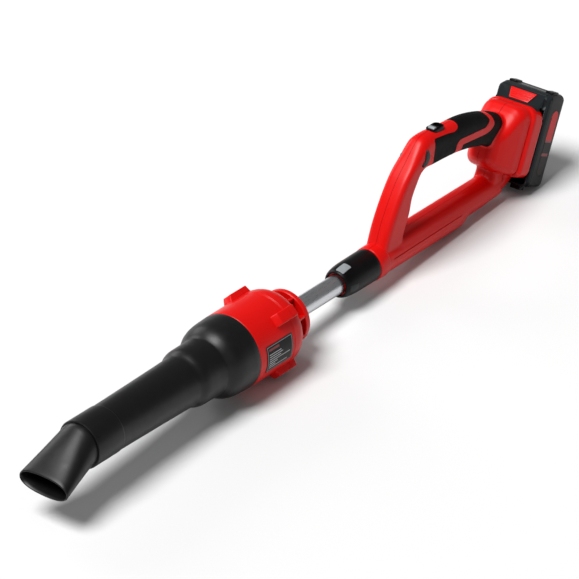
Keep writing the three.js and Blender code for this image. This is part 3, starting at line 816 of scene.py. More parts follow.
# Printed polyester films and their inks
FILM_BLACK = Finish("label_film_black", "060607", "0A0A0B", 0.34, 0.03, 0.6, 0.03, 8.0, shine=0.15)
INK_SILVER = Finish("ink_silver_grey", "B9BBBD", "A6A8AA", 0.42, 0.05, 0.5, 0.05, 4.0)
INK_GREY = Finish("ink_mid_grey", "6F7173", "7C7E80", 0.42, 0.05, 0.5, 0.05, 4.0)
INK_MAROON = Finish("ink_maroon", "6E1214", "801517", 0.42, 0.05, 0.5, 0.05, 4.0)
FILM_RED = Finish("label_film_red", "C8161B", "BA1217", 0.34, 0.03, 0.6, 0.03, 8.0, shine=0.2)
FILM_SMOKE = Finish("label_film_smoke", "170A0B", "200E0F", 0.34, 0.03, 0.6, 0.03, 8.0, shine=0.15)


@dataclass
class Assembly:
    """A sub-assembly: dresses its pieces, settles them and ties them to the frame."""

    body: str
    made: list[Object] = field(default_factory=list)

    def settle(
        self, obj: Object, finish: Finish | Sequence[Finish], slot: str, *nodes: str,
        body: str | None = None, leaning: bool = False, shade: float = 35.0
    ) -> Object:
        """Lays a piece in the row frame and ties it to its body.

        Args:
            obj: The piece, in drawing units.
            finish: Its finish, or one for each of its material slots.
            slot: The record's material slot; not used.
            nodes: The CAD nodes it stands for.
            body: The body it rides on, if not the assembly's own.
            leaning: Whether it was drawn in the battery's leaning frame.
            shade: Faces meeting at more than this many degrees keep a crease.

        Returns:
            obj.
        """
        obj.matrix_world = TOOL @ LEAN if leaning else TOOL
        only(obj)
        bpy.ops.object.transform_apply(location=True, rotation=True, scale=True)
        self.dress(obj, finish)
        smooth_shaded(obj, shade)
        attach(obj, body or self.body)
        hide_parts(*nodes)
        self.made.append(obj)
        LOG.info("%s: %d faces, on %s", obj.name, len(obj.data.polygons), body or self.body)
        return obj

    @staticmethod
    def dress(obj: Object, finish: Finish | Sequence[Finish]) -> None:
        """Fills the piece's material slots, keeping which face uses which.

        Args:
            obj: The piece.
            finish: Its finish, or one for each slot.
        """
        slots = obj.data.materials
        for i, one in enumerate([finish] if isinstance(finish, Finish) else finish):
            if i < len(slots):
                slots[i] = one.material()
            else:
                slots.append(one.material())

    def keep(self, finish: Finish, *nodes: str) -> None:
        """Dresses CAD nodes that stay as they are.

        Args:
            finish: Their finish.
            nodes: Their names.
        """
        for name in nodes:
            obj = frame["nodes"][name]
            self.dress(obj, finish)
            LOG.info("%s: CAD shape, %s", name, finish.name)

    def refined(self, node_name: str, name: str, width: float, segments: int = 2) -> Object:
        """Copies a CAD node back to drawing units, cleans it and rounds its edges.

        Args:
            node_name: The node.
            name: The new piece's name.
            width: Edge round in drawing units.
            segments: Facets across the round.

        Returns:
            The new piece.
        """
        obj = copied(frame["nodes"][node_name], name)
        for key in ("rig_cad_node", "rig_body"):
            if key in obj:
                del obj[key]
        obj.parent = None
        obj.data.transform(TOOL.inverted())
        with editing(obj):
            bpy.ops.mesh.remove_doubles(threshold=0.004)
            bpy.ops.mesh.dissolve_limited(angle_limit=math.radians(1.5))
        return rounded(obj, width, segments, 28.0)


# ---------------------------------------------------------------- sub-assemblies
@dataclass
class Nozzle(Assembly):
    """Bent tip: a round spigot that flattens to an oval mouth."""

    body: str = "nozzle"
    spigot: float = 28.1
    tip_x: float = -64.5
    tip_z: float = -24.7
    half_width: float = 36.5
    half_height: float = 13.8
    wall: float = 2.0
    sides: int = 96
    steps: int = 14

    def section(self, share: float, inset: float) -> list[Spot]:
        """Section at a share of the way from the socket to the mouth.

        Args:
            share: 0 at the socket, 1 at the mouth.
            inset: How far inside the outer surface it lies.

        Returns:
            The section's points.
        """
        ease = share * share * (3 - 2 * share) * 0.25 + share * 0.75
        half_y = self.spigot + (self.half_width - self.spigot) * ease - inset
        half_z = self.spigot + (self.half_height - self.spigot) * ease - inset
        return superoval(
            -3 + (self.tip_x + 3) * share, self.tip_z * share, half_y, half_z, 2 + 0.35 * share,
            self.sides
        )

    def build(self) -> None:
        """Lofts the tip, outside and in, with a rounded lip."""
        root = [
            superoval(x, 0, r, r, 2, self.sides)
            for x, r in ((31, self.spigot), (1.5, self.spigot), (-1.5, self.spigot + 0.2))
        ]
        outside = [self.section(i / self.steps, 0) for i in range(self.steps)]
        lip = [
            self.section(s, d)
            for s, d in ((0.985, 0.0), (0.996, 0.25), (1.0, 0.8), (1.0, 1.3), (0.994, 1.85))
        ]
        inside = [self.section(i / self.steps, self.wall) for i in range(self.steps - 1, -1, -1)]
        back = [
            superoval(x, 0, r, r, 2, self.sides)
            for x, r in ((-1.5, self.spigot - 2.0), (31, self.spigot - 1.8))
        ]
        tip = lofted("nozzle_shell", [*root, *outside, *lip, *inside, *back], closed=True)
        self.settle(tip, BLACK_NYLON, "black_plastic", "nozzle_tip", shade=50)


@dataclass
class BlowerTube(Assembly):
    """Straight tube with two shoulders that widen it to the fan."""

    body: str = "pole"
    outside: Sequence[Pair] = (
        (0, 30.1), (0.5, 30.8), (1.2, 31), (44.5, 31), (45.6, 30.9), (46.4, 30.4), (48, 30.3), (80, 30.8),
        (120, 31.5), (160, 32.3), (184, 32.8), (187.5, 33.4), (190.5, 34.9), (194, 36.6), (198, 37.6),
        (203, 37.9), (216, 38), (230.5, 38), (233, 38.7), (236, 41.4), (240, 44.4), (244.5, 46.7),
        (250, 48.3), (256, 49.2), (262, 49.6), (272, 50.05), (280, 50.3), (281, 50.0)
    )
    inside: Sequence[Pair] = (
        (281, 47.4), (289, 47.35), (289, 45.1), (262, 45.1), (246, 43.2), (236, 35), (200, 34.8),
        (186, 30.2), (52, 27.7), (46, 27.4), (32, 27.4), (32, 28.45), (0, 28.45)
    )

    def build(self) -> None:
        """Turns the tube and its inner socket as one wall."""
        tube = turned("tube_shell", [*self.outside, *self.inside], FACETS)
        self.settle(tube, BLACK_NYLON, "black_plastic", "blower_tube", shade=28)


@dataclass
class FanHousing(Assembly):
    """Red barrel and intake cap, clamped by four lugs, with the motor inside."""

    body: str = "pole"
    radius: float = 50.3
    wall: float = 2.6
    front: float = 281.35
    seam: float = 349.0
    pitch: float = 50.5
    lug_half: float = 8.2
    lug_top: float = 58.5
    fins: int = 8
    disc: float = 36.0

    def lug(self, x0: float, x1: float, chamfer_front: float, chamfer_back: float) -> Object:
        """Blocky screw lug, sloped where it runs out on the barrel.

        Args:
            x0: Its front.
            x1: Its back.
            chamfer_front: Length of the slope at the front.
            chamfer_back: Length of the slope at the back.

        Returns:
            The lug, standing along +Z.
        """
        lug = block("lug", (x0, -self.lug_half, 44), (x1, self.lug_half, self.lug_top))
        with editing(lug), mesh_of(lug) as mesh:
            for v in mesh.verts:
                if v.co.z > 50:
                    v.co.y *= 0.9
                    v.co.x += chamfer_front if v.co.x < (x0 + x1) / 2 else -chamfer_back
        return rounded(lug, 1.1, 3, 20)

    def around(self, part: Object, angles: Sequence[float]) -> list[Object]:
        """Copies a part round the axis and removes the first.

        Args:
            part: What is copied.
            angles: Where the copies stand, in degrees from the top.

        Returns:
            The copies.
        """
        out = [spun(copied(part, f"{part.name}_{i}"), angle) for i, angle in enumerate(angles)]
        bpy.data.objects.remove(part)
        return out

    def hole(self, x0: float, x1: float, radius: float) -> Object:
        """Round hole through a lug, at the screw pitch along +Z."""
        return moved(rod("hole", x0, x1, radius), Matrix.Translation((0, 0, self.pitch)))

    def barrel(self) -> None:
        """Front barrel with its lugs and a fine bead at the seam."""
        r, inner = self.radius, self.radius - self.wall
        shell = turned(
            "housing_barrel",
            [
                (self.front, r - 0.5), (self.front + 0.5, r), (346.2, r + 0.4), (346.5, r + 0.1),
                (347.3, r + 0.1), (347.6, r + 0.4), (self.seam - 0.4, r + 0.4), (self.seam, r),
                (self.seam, inner), (self.front, inner)
            ],
            FACETS
        )
        bore = rod("bore", self.front - 5, self.seam + 5, inner - LIP, FACETS)
        fuse(shell, *self.around(self.lug(319, self.seam + 2, 9, 0), LUG_ANGLES))
        cut(
            shell,
            bore,
            block("behind", (self.seam, -90, -90), (self.seam + 20, 90, 90)),
            *self.around(self.hole(334, self.seam + 2, 2.4), LUG_ANGLES)
        )
        self.settle(shell, RED_ABS, "red_plastic", "fan_housing")

    def cap(self) -> None:
        """Intake cap: rim, fins with deep windows between them, and the rear disc."""
        x0, r, inner = self.seam + SEAM_GAP, self.radius, self.radius - self.wall
        cap = turned(
            "intake_cover",
            [
                (x0, r), (x0 + 0.4, r + 0.4), (356, r + 0.3), (360, r - 0.1), (363.5, r - 0.9),
                (366.5, 48.2), (369, 46.6), (371.3, 44.6), (373, 42.4), (374, 40.6), (374, 38.5),
                (369, 42), (362, 45.8), (354, inner), (x0, inner)
            ],
            FACETS
        )
        disc = turned(
            "disc",
            [
                (376, 4.5), (376, 17), (391.5, 17.5), (391.5, self.disc - 0.8), (392.3, self.disc),
                (397.6, self.disc), (398.8, self.disc - 0.4), (399.7, self.disc - 1.4),
                (400, self.disc - 2.6), (400.4, 21), (401.2, 18.8), (403, 17.7), (405, 17.3), (406, 16.4),
                (406, 13.35), (385.65, 13.35), (385.65, 4.5)
            ],
            FACETS_MID
        )
        wall = [(350, 19), (350, 21), (376.5, 21), (376.5, 4.5), (374.35, 4.5), (374.35, 19)]
        cup = turned("cup", wall, 64)
        outline = [
            (355, 20), (355, 30), (361, 47), (371, 44), (376, 38), (393, 35.2), (393, 16.5),
            (377, 16.5), (377, 20)
        ]
        fin = rounded(prism("fin", outline, -1.5, 1.5), 0.5, 2)
        fuse(
            cap,
            disc,
            cup,
            *self.around(fin, [360 / self.fins * (i + 0.5) for i in range(self.fins)]),
            *self.around(self.lug(self.seam - 2, 362.5, 0, 3.2), LUG_ANGLES)
        )
        cut(cap, block("before", (self.seam - 20, -90, -90), (x0, 90, 90)))
        room = [(x0 - 1, inner - LIP), (354, inner - LIP), (354, 25), (x0 - 1, 25)]
        cut(cap, turned("ring", room, FACETS))
        for start, end, radius in ((x0 - 1, 364, 2.4), (357.2, 365, 4.6)):
            cut(cap, *self.around(self.hole(start, end, radius), LUG_ANGLES))
        self.settle(cap, RED_ABS, "red_plastic", "intake_cap")

    def plate(self) -> None:
        """Rating plate bent round the barrel, printed with plain bars in place of words."""
        long, high = 50, 35
        bpy.ops.object.select_all(action="DESELECT")
        bpy.ops.mesh.primitive_grid_add(x_subdivisions=long, y_subdivisions=high, size=1)
        plate = fresh("rating_label")
        # from, to, low, high, ink: plain bars, a maroon one on top
        bars = [
            (4, 24, 28, 31, 3), (4, 27, 23, 24, 1), (4, 30, 20, 21, 1), (4, 26, 17, 18, 1),
            (4, 44, 14, 15, 1), (4, 20, 11, 12, 1), (4, 40, 5, 6, 1), (4, 16, 8, 9, 1)
        ]
        with editing(plate), mesh_of(plate) as mesh:
            for face in mesh.faces:
                middle = face.calc_center_median()
                u, v = (middle.x + 0.5) * long, (middle.y + 0.5) * high
                edge = min(u, long - u, v, high - v)
                bar = next((k for a, b, c, d, k in bars if a < u < b and c < v < d), 0)
                face.material_index = 2 if 1 < edge < 2 else bar
            for vert in mesh.verts:
                x, z = 293 + (vert.co.x + 0.5) * long, -17 + (vert.co.y + 0.5) * high - 0.25
                r = self.radius + 0.62 + 0.3 * (x - 293) / long
                vert.co = (x, -math.sqrt(r * r - z * z), z)
        inks = (FILM_BLACK, INK_SILVER, INK_GREY, INK_MAROON)
        self.dress(plate, inks)
        apply(plate, "SOLIDIFY", thickness=0.25, offset=0)
        self.settle(mend(plate), inks, "label_film", "rating_plate", shade=40)

    def build(self) -> None:
        """Builds the housing, and dresses the fan and motor inside it."""
        self.barrel()
        self.cap()
        self.plate()
        self.keep(CHARCOAL_ABS, "impeller")
        self.keep(MOTOR_STEEL, "motor_can", "motor_shaft")
        self.keep(ZINC_STEEL, *(f"housing_screw_{i}" for i in range(1, 5)))


@dataclass
class Pole(Assembly):
    """Aluminium pole and the collar that clamps it."""

    body: str = "pole"
    radius: float = 13.0
    wall: float = 1.5
    start: float = 386.0
    end: float = 758.0
    collar: Sequence[Pair] = (
        (499.8, 15.6), (499.9, 16.6), (500.4, 17.4), (501.6, 18.4), (504, 19.4), (507, 20.2), (511, 20.9),
        (516, 21.5), (524, 22), (540, 22.2), (560, 22.4), (566, 22.4), (567.4, 22), (568, 21.2),
        (568, 15.6)
    )

    def patch(
        self, name: str, profile: Sequence[Pair], angle: float, x0: float, x1: float, half: float
    ) -> Object:
        """Round-cornered patch of a turned skin.

        Args:
            name: Its name.
            profile: The skin's section.
            angle: Where it is, in degrees from the top towards the near side.
            x0: Its front.
            x1: Its back.
            half: Half its width.

        Returns:
            The patch.
        """
        stamp = spun(tablet("stamp", (x0, -half, 10), (x1, half, 32), 1.6), angle)
        return trim(turned(name, profile, FACETS), stamp)

    def build(self) -> None:
        """Turns the pole, the collar and the clamp ring; dresses the lead."""
        inner = self.radius - self.wall
        tube = turned(
            "pole_outer",
            [(self.start, inner), (self.start, self.radius), (self.end, self.radius), (self.end, inner)],
            FACETS_MID
        )
        self.settle(tube, DRAWN_ALU, "aluminium_tube", "pole_tube")
        self.keep(LEAD_PVC, "motor_lead")
        collar = turned("twist_collar", self.collar, FACETS)
        # the pocket under a mark, and the mark's skin, follow the collar's rounded front
        under = [(502, 17.4), (502, 32), (522, 32), (522, 20.4), (514, 19.9), (507, 18.6)]
        skin = [
            (502, 17.8), (502, 18.7), (503.5, 19.3), (505, 19.8), (507, 20.3), (511, 21.05), (516, 21.65),
            (522, 22.0), (522, 20.8), (514, 20.3), (507, 19)
        ]
        # name, degrees from the top, front, half width, finish, slot, CAD node
        marks = (
            ("collar_window_top", 8, 503.0, 6.0, GREY_ABS, "grey_plastic", "collar_mark"),
            ("collar_window_side", 97, 505.0, 5.0, CHARCOAL_ABS, "charcoal_plastic", "collar_mark_side")
        )
        for _, angle, x0, half, _, _, _ in marks:
            cut(collar, self.patch("pocket", under, angle, x0 - 0.3, 520.3, half + 0.3))
        self.settle(collar, BLACK_ABS, "black_plastic", "locking_collar", body="collar")
        for name, angle, x0, half, finish, slot, node_name in marks:
            self.settle(
                self.patch(name, skin, angle, x0, 520, half), finish, slot, node_name, body="collar"
            )
        ring = turned(
            "clamp_ring",
            [(504, 13.3), (503, 13.9), (503, 14.9), (503.4, 15.3), (604, 15.3), (604, 13.3)],
            FACETS_MID
        )
        for angle in (30, 150, 270):
            cut(ring, spun(block("slit", (500, -0.8, 10), (540, 0.8, 20)), angle))
        self.settle(ring, RED_ABS, "red_plastic", "clamp_sleeve", body="handle")


@dataclass
class Handle(Assembly):
    """Two red halves round the pole and the battery mount, with rubber grips let in."""

    body: str = "handle"
    half: float = 16.5
    edge: float = 7.0
    crown: float = 16.0  # edge round over the grip
    window_edge: float = 8.5  # edge round under the grip
    kerf: float = 0.22  # half the parting line
    fit: float = 0.4  # room round a rubber panel
    corner: float = 2.6  # where the round of a panel's corner starts
    crease: float = 21.4  # how far out the lower bar's creases are
    webs: Sequence[Pair] = ((560, 590), (640, 643.5), (716, 719.5))
    voxel: float = 1.3
    skin: float = 1.8
    wall: float = 2.6
    spine: Sequence[Pair] = (
        (574, -15), (580.5, 10), (585, 26), (593, 47.5), (609, 77.5), (625, 100.5), (643, 118.8),
        (657, 133.5), (664, 140), (672, 143.7), (684, 144.7), (697, 143.8), (716, 141.6), (740, 140),
        (764, 138), (784, 134.3), (806, 128.3), (832, 119), (852, 109)
    )
    inner: Sequence[Pair] = (
        (621, 12), (629, 33), (637, 52), (642, 72), (651.5, 88), (659.5, 98.5), (668, 102), (683, 101.2),
        (701, 100.4), (724, 99), (747, 96.4), (770, 92), (792, 86)
    )
    tube: Sequence[tuple[float, float, float]] = (
        (568.35, 0, 21.8), (620, 0, 21.9), (700, 0, 22), (748, 0, 21.9), (756, 0.2, 21.6),
        (762, 1.2, 20.6), (768, 3.1, 19.1), (774, 4, 18.6), (790, 4.3, 18.6), (812, 4.9, 18.6),
        (828, 7, 18.6), (840, 9.3, 18.6), (850, 12.4, 18.6), (858, 15, 18.6), (872, 21, 18.6)
    )
    saddle: Sequence[Pair] = ((21.2, 4), (19.8, 9), (18.3, 13.2), (15.4, 18.6), (9.5, 21.5))
    housing: Sequence[tuple[float, float, float, float, float]] = (
        (728, 10, 358, 380, 7), (729, 13, 355, 384, 9), (731, 16, 353, 388, 10),
        (737, 22, 348.5, 398, 14), (746, 26.5, 346, 410, 16), (754, 29.5, 344.5, 424, 17),
        (760, 31.5, 343.8, 432, 17), (766, 33.5, 343.3, 434.5, 16), (778, 35, 343, 435.5, 16),
        (781, 39.6, 341.2, 436.8, 17), (783, 40, 341, 437, 17), (801, 40.5, 341, 437, 18)
    )
    heel_front: Sequence[Pair] = (
        (600, 300), (726.5, 300), (726.5, 386), (734, 398), (741, 410), (741, 480), (600, 480)
    )
    pad_main: Sequence[Pair] = (
        (680, 96), (683.5, 125), (685.5, 138), (697, 137), (716, 134.5), (731, 132), (740, 134),
        (744, 139), (740, 146), (731, 151), (735, 160), (795, 150), (797, 139), (809, 128), (812, 118.5),
        (799, 113), (741, 118), (734, 114), (727, 90)
    )
    pad_heel: Sequence[Pair] = (
        (742, 88), (748, 107.5), (800, 102.5), (812, 103.5), (821.5, 109), (822, 119.5), (811, 134),
        (808, 150), (852, 130), (852, 100), (846, 84), (820, 74), (770, 84)
    )
    crescent: Sequence[Pair] = (
        (667, 131), (671.5, 124), (671, 116.5), (665.5, 110.5), (657.5, 110), (657, 113), (662, 117.5),
        (663.5, 124)
    )
    screwed: Sequence[tuple[float, float, float]] = (
        (612, 44, 16.5), (652.5, 120, 16.5), (765, 117, 16.5), (636, 92, 16.5), (846, 54, 32.5)
    )

    def rim(self, name: str, outline: Sequence[Pair], outwards: float, crown: float) -> Object:
        """Slab across the tool whose edge is rounded more over the grip than down the leg.

        Args:
            name: Its name.
            outline: Its x-z outline at mid-width.
            outwards: 1 if the edge flares out towards the sides, as in a window, or -1.
            crown: Radius of the edge round over the grip.

        Returns:
            The slab.
        """
        base, step = grown(outline, 0.0), grown(outline, 1.0)
        rounds = []
        for x, z in base:
            share = min(max((x - 635) / 40, 0), 1) * min(max((z - 50) / 30, 0), 1)
            rounds.append(self.edge + (crown - self.edge) * share)
        rings = []
        for angle in (-90, -72, -54, -36, -18, 0, 0, 18, 36, 54, 72, 90):
            side = -1 if len(rings) < 6 else 1
            turn = math.radians(abs(angle))
            rings.append(
                [
                    (
                        x + (u - x) * outwards * r * (1 - math.cos(turn)),
                        side * (self.half - r + r * math.sin(turn)),
                        z + (v - z) * outwards * r * (1 - math.cos(turn))
                    )
                    for (x, z), (u, v), r in zip(base, step, rounds)
                ]
            )
        if outwards > 0:
            rings = [[(x, -30, z) for x, _, z in rings[0]], *rings, [(x, 30, z) for x, _, z in rings[-1]]]
        return lofted(name, rings)

    def loop(self) -> Object:
        """The closed grip: a slab less its window, both with rounded edges.

        Returns:
            The loop.
        """
        outer = [*spline(self.spine, 84), (868, 92), (864, 50), (856, 14), (836, -6), (770, -8)]
        window = [
            *spline(self.inner, 60),
            *spline([(792, 86), (812, 80), (822, 56), (830, 36), (822, 18)], 20)[1:]
        ]
        return cut(
            self.rim("loop", outer, -1, self.crown),
            self.rim("window", window, 1, self.window_edge)
        )

    def bar(self) -> Object:
        """Rounded bar that rides on the lower tube.

        Returns:
            The bar.
        """
        right = spline([*self.saddle, (0, 22)], 14)
        section = [*right, *((-y, z) for y, z in reversed(right[:-1])), (-14, -6), (14, -6)]
        return lofted(
            "bar",
            [
                [(x, y * k, z * k) for y, z in section]
                for x, k in ((588, 0.86), (596, 0.91), (606, 0.96), (620, 1), (842, 1))
            ]
        )

    def mount(self) -> Object:
        """The battery mount, with the bulge that faces the grip and the step before its flange.

        Returns:
            The mount.
        """
        return leaned(
            lofted(
                "housing",
                [plaque(w, half, low, high, r, 8, min(r, 12)) for w, half, low, high, r in self.housing]
            )
        )

    def lump(self) -> Object:
        """All the handle's outer forms fused, with soft fillets where they meet.

        Returns:
            The lump.
        """
        body = self.loop()
        body.name = "handle_lump"
        lower = lofted("lower", [superoval(x, z, r, r, 2, 64) for x, z, r in self.tube])
        fuse(body, lower, self.bar(), self.mount())
        apply(body, "REMESH", mode="VOXEL", voxel_size=self.voxel, use_smooth_shade=True)
        apply(body, "SMOOTH", factor=0.5, iterations=9)
        return body

    def offset(self, body: Object, by: float, voxel: float) -> Object:
        """A copy of the fused body, grown or shrunk evenly.

        Args:
            body: The fused body.
            by: How far it grows.
            voxel: How fine it is.

        Returns:
            The copy.
        """
        twin = copied(body, "offset")
        apply(twin, "DISPLACE", strength=by, mid_level=0.0, direction="NORMAL")
        return apply(twin, "REMESH", mode="VOXEL", voxel_size=voxel)

    def post(self, x: float, z: float, radius: float, y0: float, y1: float) -> Object:
        """Round bar across the tool."""
        return moved(
            rod("post", y0, y1, radius),
            Matrix.Translation((x, 0, z)) @ Matrix.Rotation(math.pi / 2, 4, "Z")
        )

    def openings(self, body: Object) -> None:
        """Cuts everything that something sits in or passes through.

        Args:
            body: The fused handle, changed in place.
        """
        bore = [(560, 15.65), (604.6, 15.65), (604.6, 13.45), (800, 13.45)]
        cut(
            body,
            turned("bore", bore, FACETS_MID, closed=False),
            leaned(block("rail", (789, -33.6, 346), (797, 33.6, 460))),
            leaned(block("rail", (796.5, -29.6, 346), (820, 29.6, 460))),
            tablet("well", (691.9, -8.4, 133), (718.1, 8.4, 170), 6.5),
            prism("window", grown(spline(self.crescent, 48, closed=True), 0.45), -22, -4.5)
        )
        for x, z, h in self.screwed:
            cut(body, self.post(x, z, 4.4, h - 5, h + 30), self.post(x, z, 1.9, -7, h + 1))
        # the long crease along each side of the lower bar, and the shadow line round the mount
        for side in Side:
            run = lofted(
                "crease",
                [
                    [
                        (x, side.value * self.crease + 1.6 * c, z + 0.8 * s)
                        for c, s in ((1, 0), (0, 1), (-1, 0), (0, -1))
                    ]
                    for x, z in ((596, 4.0), (640, 4.6), (700, 5.2), (748, 5.6))
                ]
            )
            cut(body, run)
        groove = lofted("groove", [plaque(w, 50, 330, 450, 16) for w in (777.2, 778.4)])
        cut(groove, lofted("core", [plaque(w, 34.3, 343.7, 434.8, 15) for w in (775, 781)]))
        cut(body, leaned(groove))

    def halves(self, body: Object, stem: str, finish: Finish, slot: str, node_stem: str) -> None:
        """Saws a body along the parting line and settles both halves.

        Args:
            body: What is sawn; it is removed.
            stem: What the halves' names start with.
            finish: Their finish.
            slot: The record's material slot.
            node_stem: What the names of their CAD nodes start with.
        """
        for side, ending in ((Side.NEAR, "left"), (Side.FAR, "right")):
            half = copied(body, f"{stem}_{ending}")
            y0, y1 = sorted((side.value * self.kerf, side.value * 90))
            trim(half, block("half", (400, y0, -90), (1000, y1, 260)))
            self.settle(half, finish, slot, f"{node_stem}_{ending}", shade=40)
        bpy.data.objects.remove(body)

    def grips(self, body: Object) -> None:
        """Lets the rubber panels into the body, flush with it.

        Args:
            body: The fused handle before its openings; grooves are cut in it.
        """
        whole = self.offset(body, 0.12, self.voxel)
        under = self.offset(body, -self.skin + 0.3, 2.0)
        floor = self.offset(body, -self.skin, 2.0)
        proud = self.offset(body, 2.0, 2.0)
        cut(whole, under)
        cut(proud, floor)
        for outline, label, heel in ((self.pad_main, "main", False), (self.pad_heel, "heel", True)):
            pad = copied(whole, "pad")
            room = copied(proud, "room")
            soft = softened(outline, self.corner)
            trim(pad, prism("mask", soft, -REACH, REACH))
            trim(room, prism("mask", grown(soft, self.fit), -REACH, REACH))
            if heel:
                trim(pad, leaned(prism("limit", self.heel_front, -REACH, REACH)))
                trim(room, leaned(prism("limit", grown(self.heel_front, self.fit), -61, 61)))
            cut(body, room)
            self.halves(
                pad, f"pad_{label}", GRIP_RUBBER, "grip_rubber", "grip_heel" if heel else "grip_pad"
            )
        for spare in (whole, proud):
            bpy.data.objects.remove(spare)

    def build(self) -> None:
        """Builds the shell halves, grips and controls."""
        body = self.lump()
        trim(body, leaned(block("limit", (-900, -200, -900), (801, 200, 900))))
        hollow = self.offset(body, -self.wall, 2.4)
        for x0, x1 in self.webs:
            cut(hollow, rod("web", x0, x1, 30, 48))
        cut(hollow, leaned(block("wall", (785.6, -60, 300), (900, 60, 500))))
        self.grips(body)
        nose = turned(
            "nose",
            [
                (568.35, 15.8), (568.35, 22), (568.9, 22.7), (570, 23), (584.5, 23.2), (586.6, 22.9),
                (587.6, 22.2), (588.2, 20), (588.2, 15.8)
            ],
            FACETS
        )
        cut(body, hollow)
        fuse(body, nose)
        self.openings(body)
        self.halves(body, "shell", RED_ABS, "red_plastic", "handle_shell")
        self.controls()
        self.keep(ZINC_STEEL, *(f"handle_screw_{i}" for i in range(1, 6)))
        self.keep(CHARCOAL_ABS, "switch_body", "terminal_block")
        self.keep(BOARD_GREEN, "control_board")

    def controls(self) -> None:
        """The slide switch on top and the crescent key in the side."""
        surround = tablet("switch_surround", (692.3, -8.0, 134.2), (717.7, 8.0, 145.0), 6.1)
        cut(
            surround,
            tablet("inside", (694.2, -6.1, 136.5), (715.8, 6.1, 170), 1.5),
            block("slot", (696.5, -2.2, 130), (714.5, 2.2, 150))
        )
        self.settle(rounded(surround, 0.35, 2, 50), BLACK_ABS, "black_plastic", "switch_frame")
        self.settle(
            self.refined("power_slider", "slide_key", 0.5),
            BLACK_ABS,
            "black_plastic",
            "power_slider",
            body="slider"
        )
        self.settle(
            self.refined("slider_pad", "thumb_rest", 0.8, 3),
            GREY_ABS,
            "grey_plastic",
            "slider_pad",
            body="slider"
        )
        key = prism("crescent_key", spline(self.crescent, 48, closed=True), -17.8, -7.4)
        self.settle(
            rounded(key, 0.6, 3, 60), CHARCOAL_ABS, "charcoal_plastic", "side_button", body="side_key"
        )


@dataclass
class Battery(Assembly):
    """Battery pack in its leaning frame: rear case, rail case, latch and bands."""

    body: str = "battery"
    half: float = 40.0
    low: float = 329.5
    high: float = 458.0
    split: float = 812.35
    back: float = 847.0
    screws_y: Sequence[float] = (-33, 33)
    screws_u: Sequence[float] = (341, 449)
    # where each colour of a band ends, going up, and which it is
    tones: Sequence[tuple[float, int]] = ((374, 2), (378, 1), (393, 2), (396, 1))

    def rear(self) -> None:
        """Rear case with rounded corners, label recesses, screw bores and top clips."""
        h, lo, hi = self.half, self.low, self.high
        case = lofted(
            "cell_case",
            [
                plaque(w, h - d, lo + d, hi - d, max(8 - d, 2.5))
                for w, d in (
                    (self.split, 0.4), (self.split + 0.4, 0), (840.5, 0), (842.5, 0.25), (844.2, 0.9),
                    (845.6, 2), (846.5, 3.2), (self.back, 4.6)
                )
            ]
        )
        cut(case, lofted("hollow", [plaque(w, h - 2.4, lo + 2.4, hi - 2.4, 5.6) for w in (800, 844.6)]))
        for y in self.screws_y:
            for u in self.screws_u:
                for w0, w1, radius, how in (
                    (self.split, 845, 4.8, Join.ADD), (840.5, 850, 4.2, Join.REMOVE),
                    (800, 850, 2.0, Join.REMOVE)
                ):
                    post = moved(rod("post", w0, w1, radius), Matrix.Translation((0, y, u)))
                    combine(case, how, [post])
        for side in Side:
            recess = moved(
                tablet("recess", (822, 39.3, 347), (838.6, 45, 437), 7.9, 1),
                Matrix.Diagonal((1, side.value, 1, 1))
            )
            cut(case, mend(recess))
            middle = side.value * 29
            clip = block("clip", (817, middle - 6, 455), (834, middle + 6, 460.6))
            fuse(case, rounded(clip, 1.6, 3))
        self.settle(
            rounded(case, 0.3, 2, 50), BLACK_ABS, "black_plastic", "battery_case_rear", leaning=True
        )

    def bands(self) -> None:
        """Side labels with round ends, printed in plain blocks of colour."""
        for side, name, node_name in (
            (Side.NEAR, "case_band_left", "battery_label_left"),
            (Side.FAR, "case_band_right", "battery_label_right")
        ):
            band = tablet(name, (822.4, 39.45, 347.4), (838.2, 40.15, 436.6), 7.6, 1)
            self.dress(band, (FILM_RED, INK_MAROON, FILM_SMOKE))
            with editing(band):
                for top, _ in self.tones:
                    bpy.ops.mesh.select_all(action="SELECT")
                    bpy.ops.mesh.bisect(plane_co=(830, 40, top), plane_no=(0, 0, 1))
                with mesh_of(band) as mesh:
                    for face in mesh.faces:
                        u = face.calc_center_median().z
                        face.material_index = next((tone for top, tone in self.tones if u < top), 0)
            moved(band, Matrix.Diagonal((1, side.value, 1, 1)))
            self.settle(
                mend(band), (FILM_RED, INK_MAROON, FILM_SMOKE), "label_red", node_name, leaning=True
            )

    def build(self) -> None:
        """Builds the pack and its latch, and dresses the cells."""
        self.rear()
        self.bands()
        front = self.refined("battery_case_front", "rail_case", 0.7, 3)
        self.settle(front, CHARCOAL_ABS, "charcoal_plastic", "battery_case_front")
        latch = self.refined("latch_button", "latch_key", 0.5, 3)
        self.settle(latch, RED_ABS, "red_plastic", "latch_button", body="latch")
        self.keep(ZINC_STEEL, *(f"battery_screw_{i}" for i in range(1, 5)))
        self.keep(CELL_WRAP, *(f"battery_cell_{i}" for i in range(1, 6)))
        self.keep(BOARD_GREEN, "cell_board")


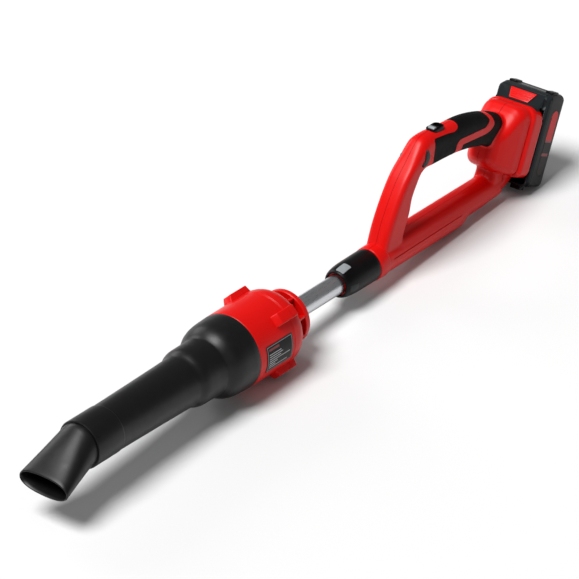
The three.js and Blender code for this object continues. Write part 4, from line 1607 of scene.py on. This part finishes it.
@dataclass
class Studio:
    """Pale floor, soft light and the camera."""

    eye: Spot = (-2.8138, -2.1490, 2.3148)
    right: Spot = (0.6049, -0.7962, -0.0154)
    up: Spot = (0.4360, 0.3148, 0.8431)
    back: Spot = (-0.6664, -0.5167, 0.5375)
    lens: float = 217.6

    def floor(self) -> None:
        """Lays a wide matt floor, pale and very slightly mottled."""
        bpy.ops.object.select_all(action="DESELECT")
        bpy.ops.mesh.primitive_plane_add(size=40, location=(0, 0, -0.0005))
        floor = fresh("studio_floor")
        pale = Finish("painted_floor_matt", "DCDCDC", "D9D9D9", 0.9, 0.03, 6.0, 0.02, 900.0)
        Assembly.dress(floor, pale)

    def lamp(self, name: str, place: Spot, size: float, power: float, aim: Spot = (0, 0, 0.06)) -> None:
        """Hangs a square soft box.

        Args:
            name: Its name.
            place: Where it hangs.
            size: Side in metres.
            power: Watts.
            aim: What it points at.
        """
        data = bpy.data.lights.new(name, "AREA")
        data.size = size
        data.energy = power
        lamp = bpy.data.objects.new(name, data)
        bpy.context.scene.collection.objects.link(lamp)
        lamp.location = place
        lamp.rotation_euler = (Vector(aim) - Vector(place)).to_track_quat("-Z", "Y").to_euler()

    def sun(self, name: str, place: Spot, spread: float, strength: float) -> None:
        """Adds an even light from far away, as wide as a large soft box.

        Args:
            name: Its name.
            place: The direction it comes from.
            spread: How wide it looks, in degrees.
            strength: Watts per square metre.
        """
        data = bpy.data.lights.new(name, "SUN")
        data.angle = math.radians(spread)
        data.energy = strength
        lamp = bpy.data.objects.new(name, data)
        bpy.context.scene.collection.objects.link(lamp)
        lamp.location = place
        lamp.rotation_euler = Vector(place).to_track_quat("Z", "Y").to_euler()

    def build(self) -> None:
        """Sets the floor, lamps, sky and camera."""
        self.floor()
        self.sun("key_sky", (-1.0, 0.35, 2.2), 28, 4.0)
        self.lamp("rim_box", (0.2, 2.3, 1.1), 1.2, 16)
        self.lamp("side_box", (-1.2, -2.4, 1.3), 1.0, 2)
        world = bpy.data.worlds.new("studio_sky")
        world.use_nodes = True
        tree = world.node_tree
        tree.nodes.clear()
        seen = node(tree, "LightPath").outputs["Is Camera Ray"]
        glow = node(tree, "MapRange", Value=seen, i1=0.0, i2=1.0, i3=0.2, i4=0.92).outputs[0]
        sky = node(tree, "Background", Color=linear("FFFFFF"), Strength=glow)
        node(tree, "OutputWorld", Surface=sky.outputs[0])
        scene = bpy.context.scene
        scene.world = world
        scene.view_settings.view_transform = "Standard"
        data = bpy.data.cameras.new("camera")
        data.lens, data.sensor_width, data.clip_end = self.lens, 36.0, 100.0
        camera = bpy.data.objects.new("camera", data)
        scene.collection.objects.link(camera)
        turn = Matrix((self.right, self.up, self.back)).transposed().to_4x4()
        camera.matrix_world = Matrix.Translation(self.eye) @ turn
        scene.camera = camera


def main() -> None:
    """Builds the studio and every sub-assembly in order."""
    logging.basicConfig(level=logging.INFO, format="%(message)s")
    for part in (Studio(), Nozzle(), BlowerTube(), FanHousing(), Pole(), Handle(), Battery()):
        part.build()


if __name__ == "__main__":
    main()
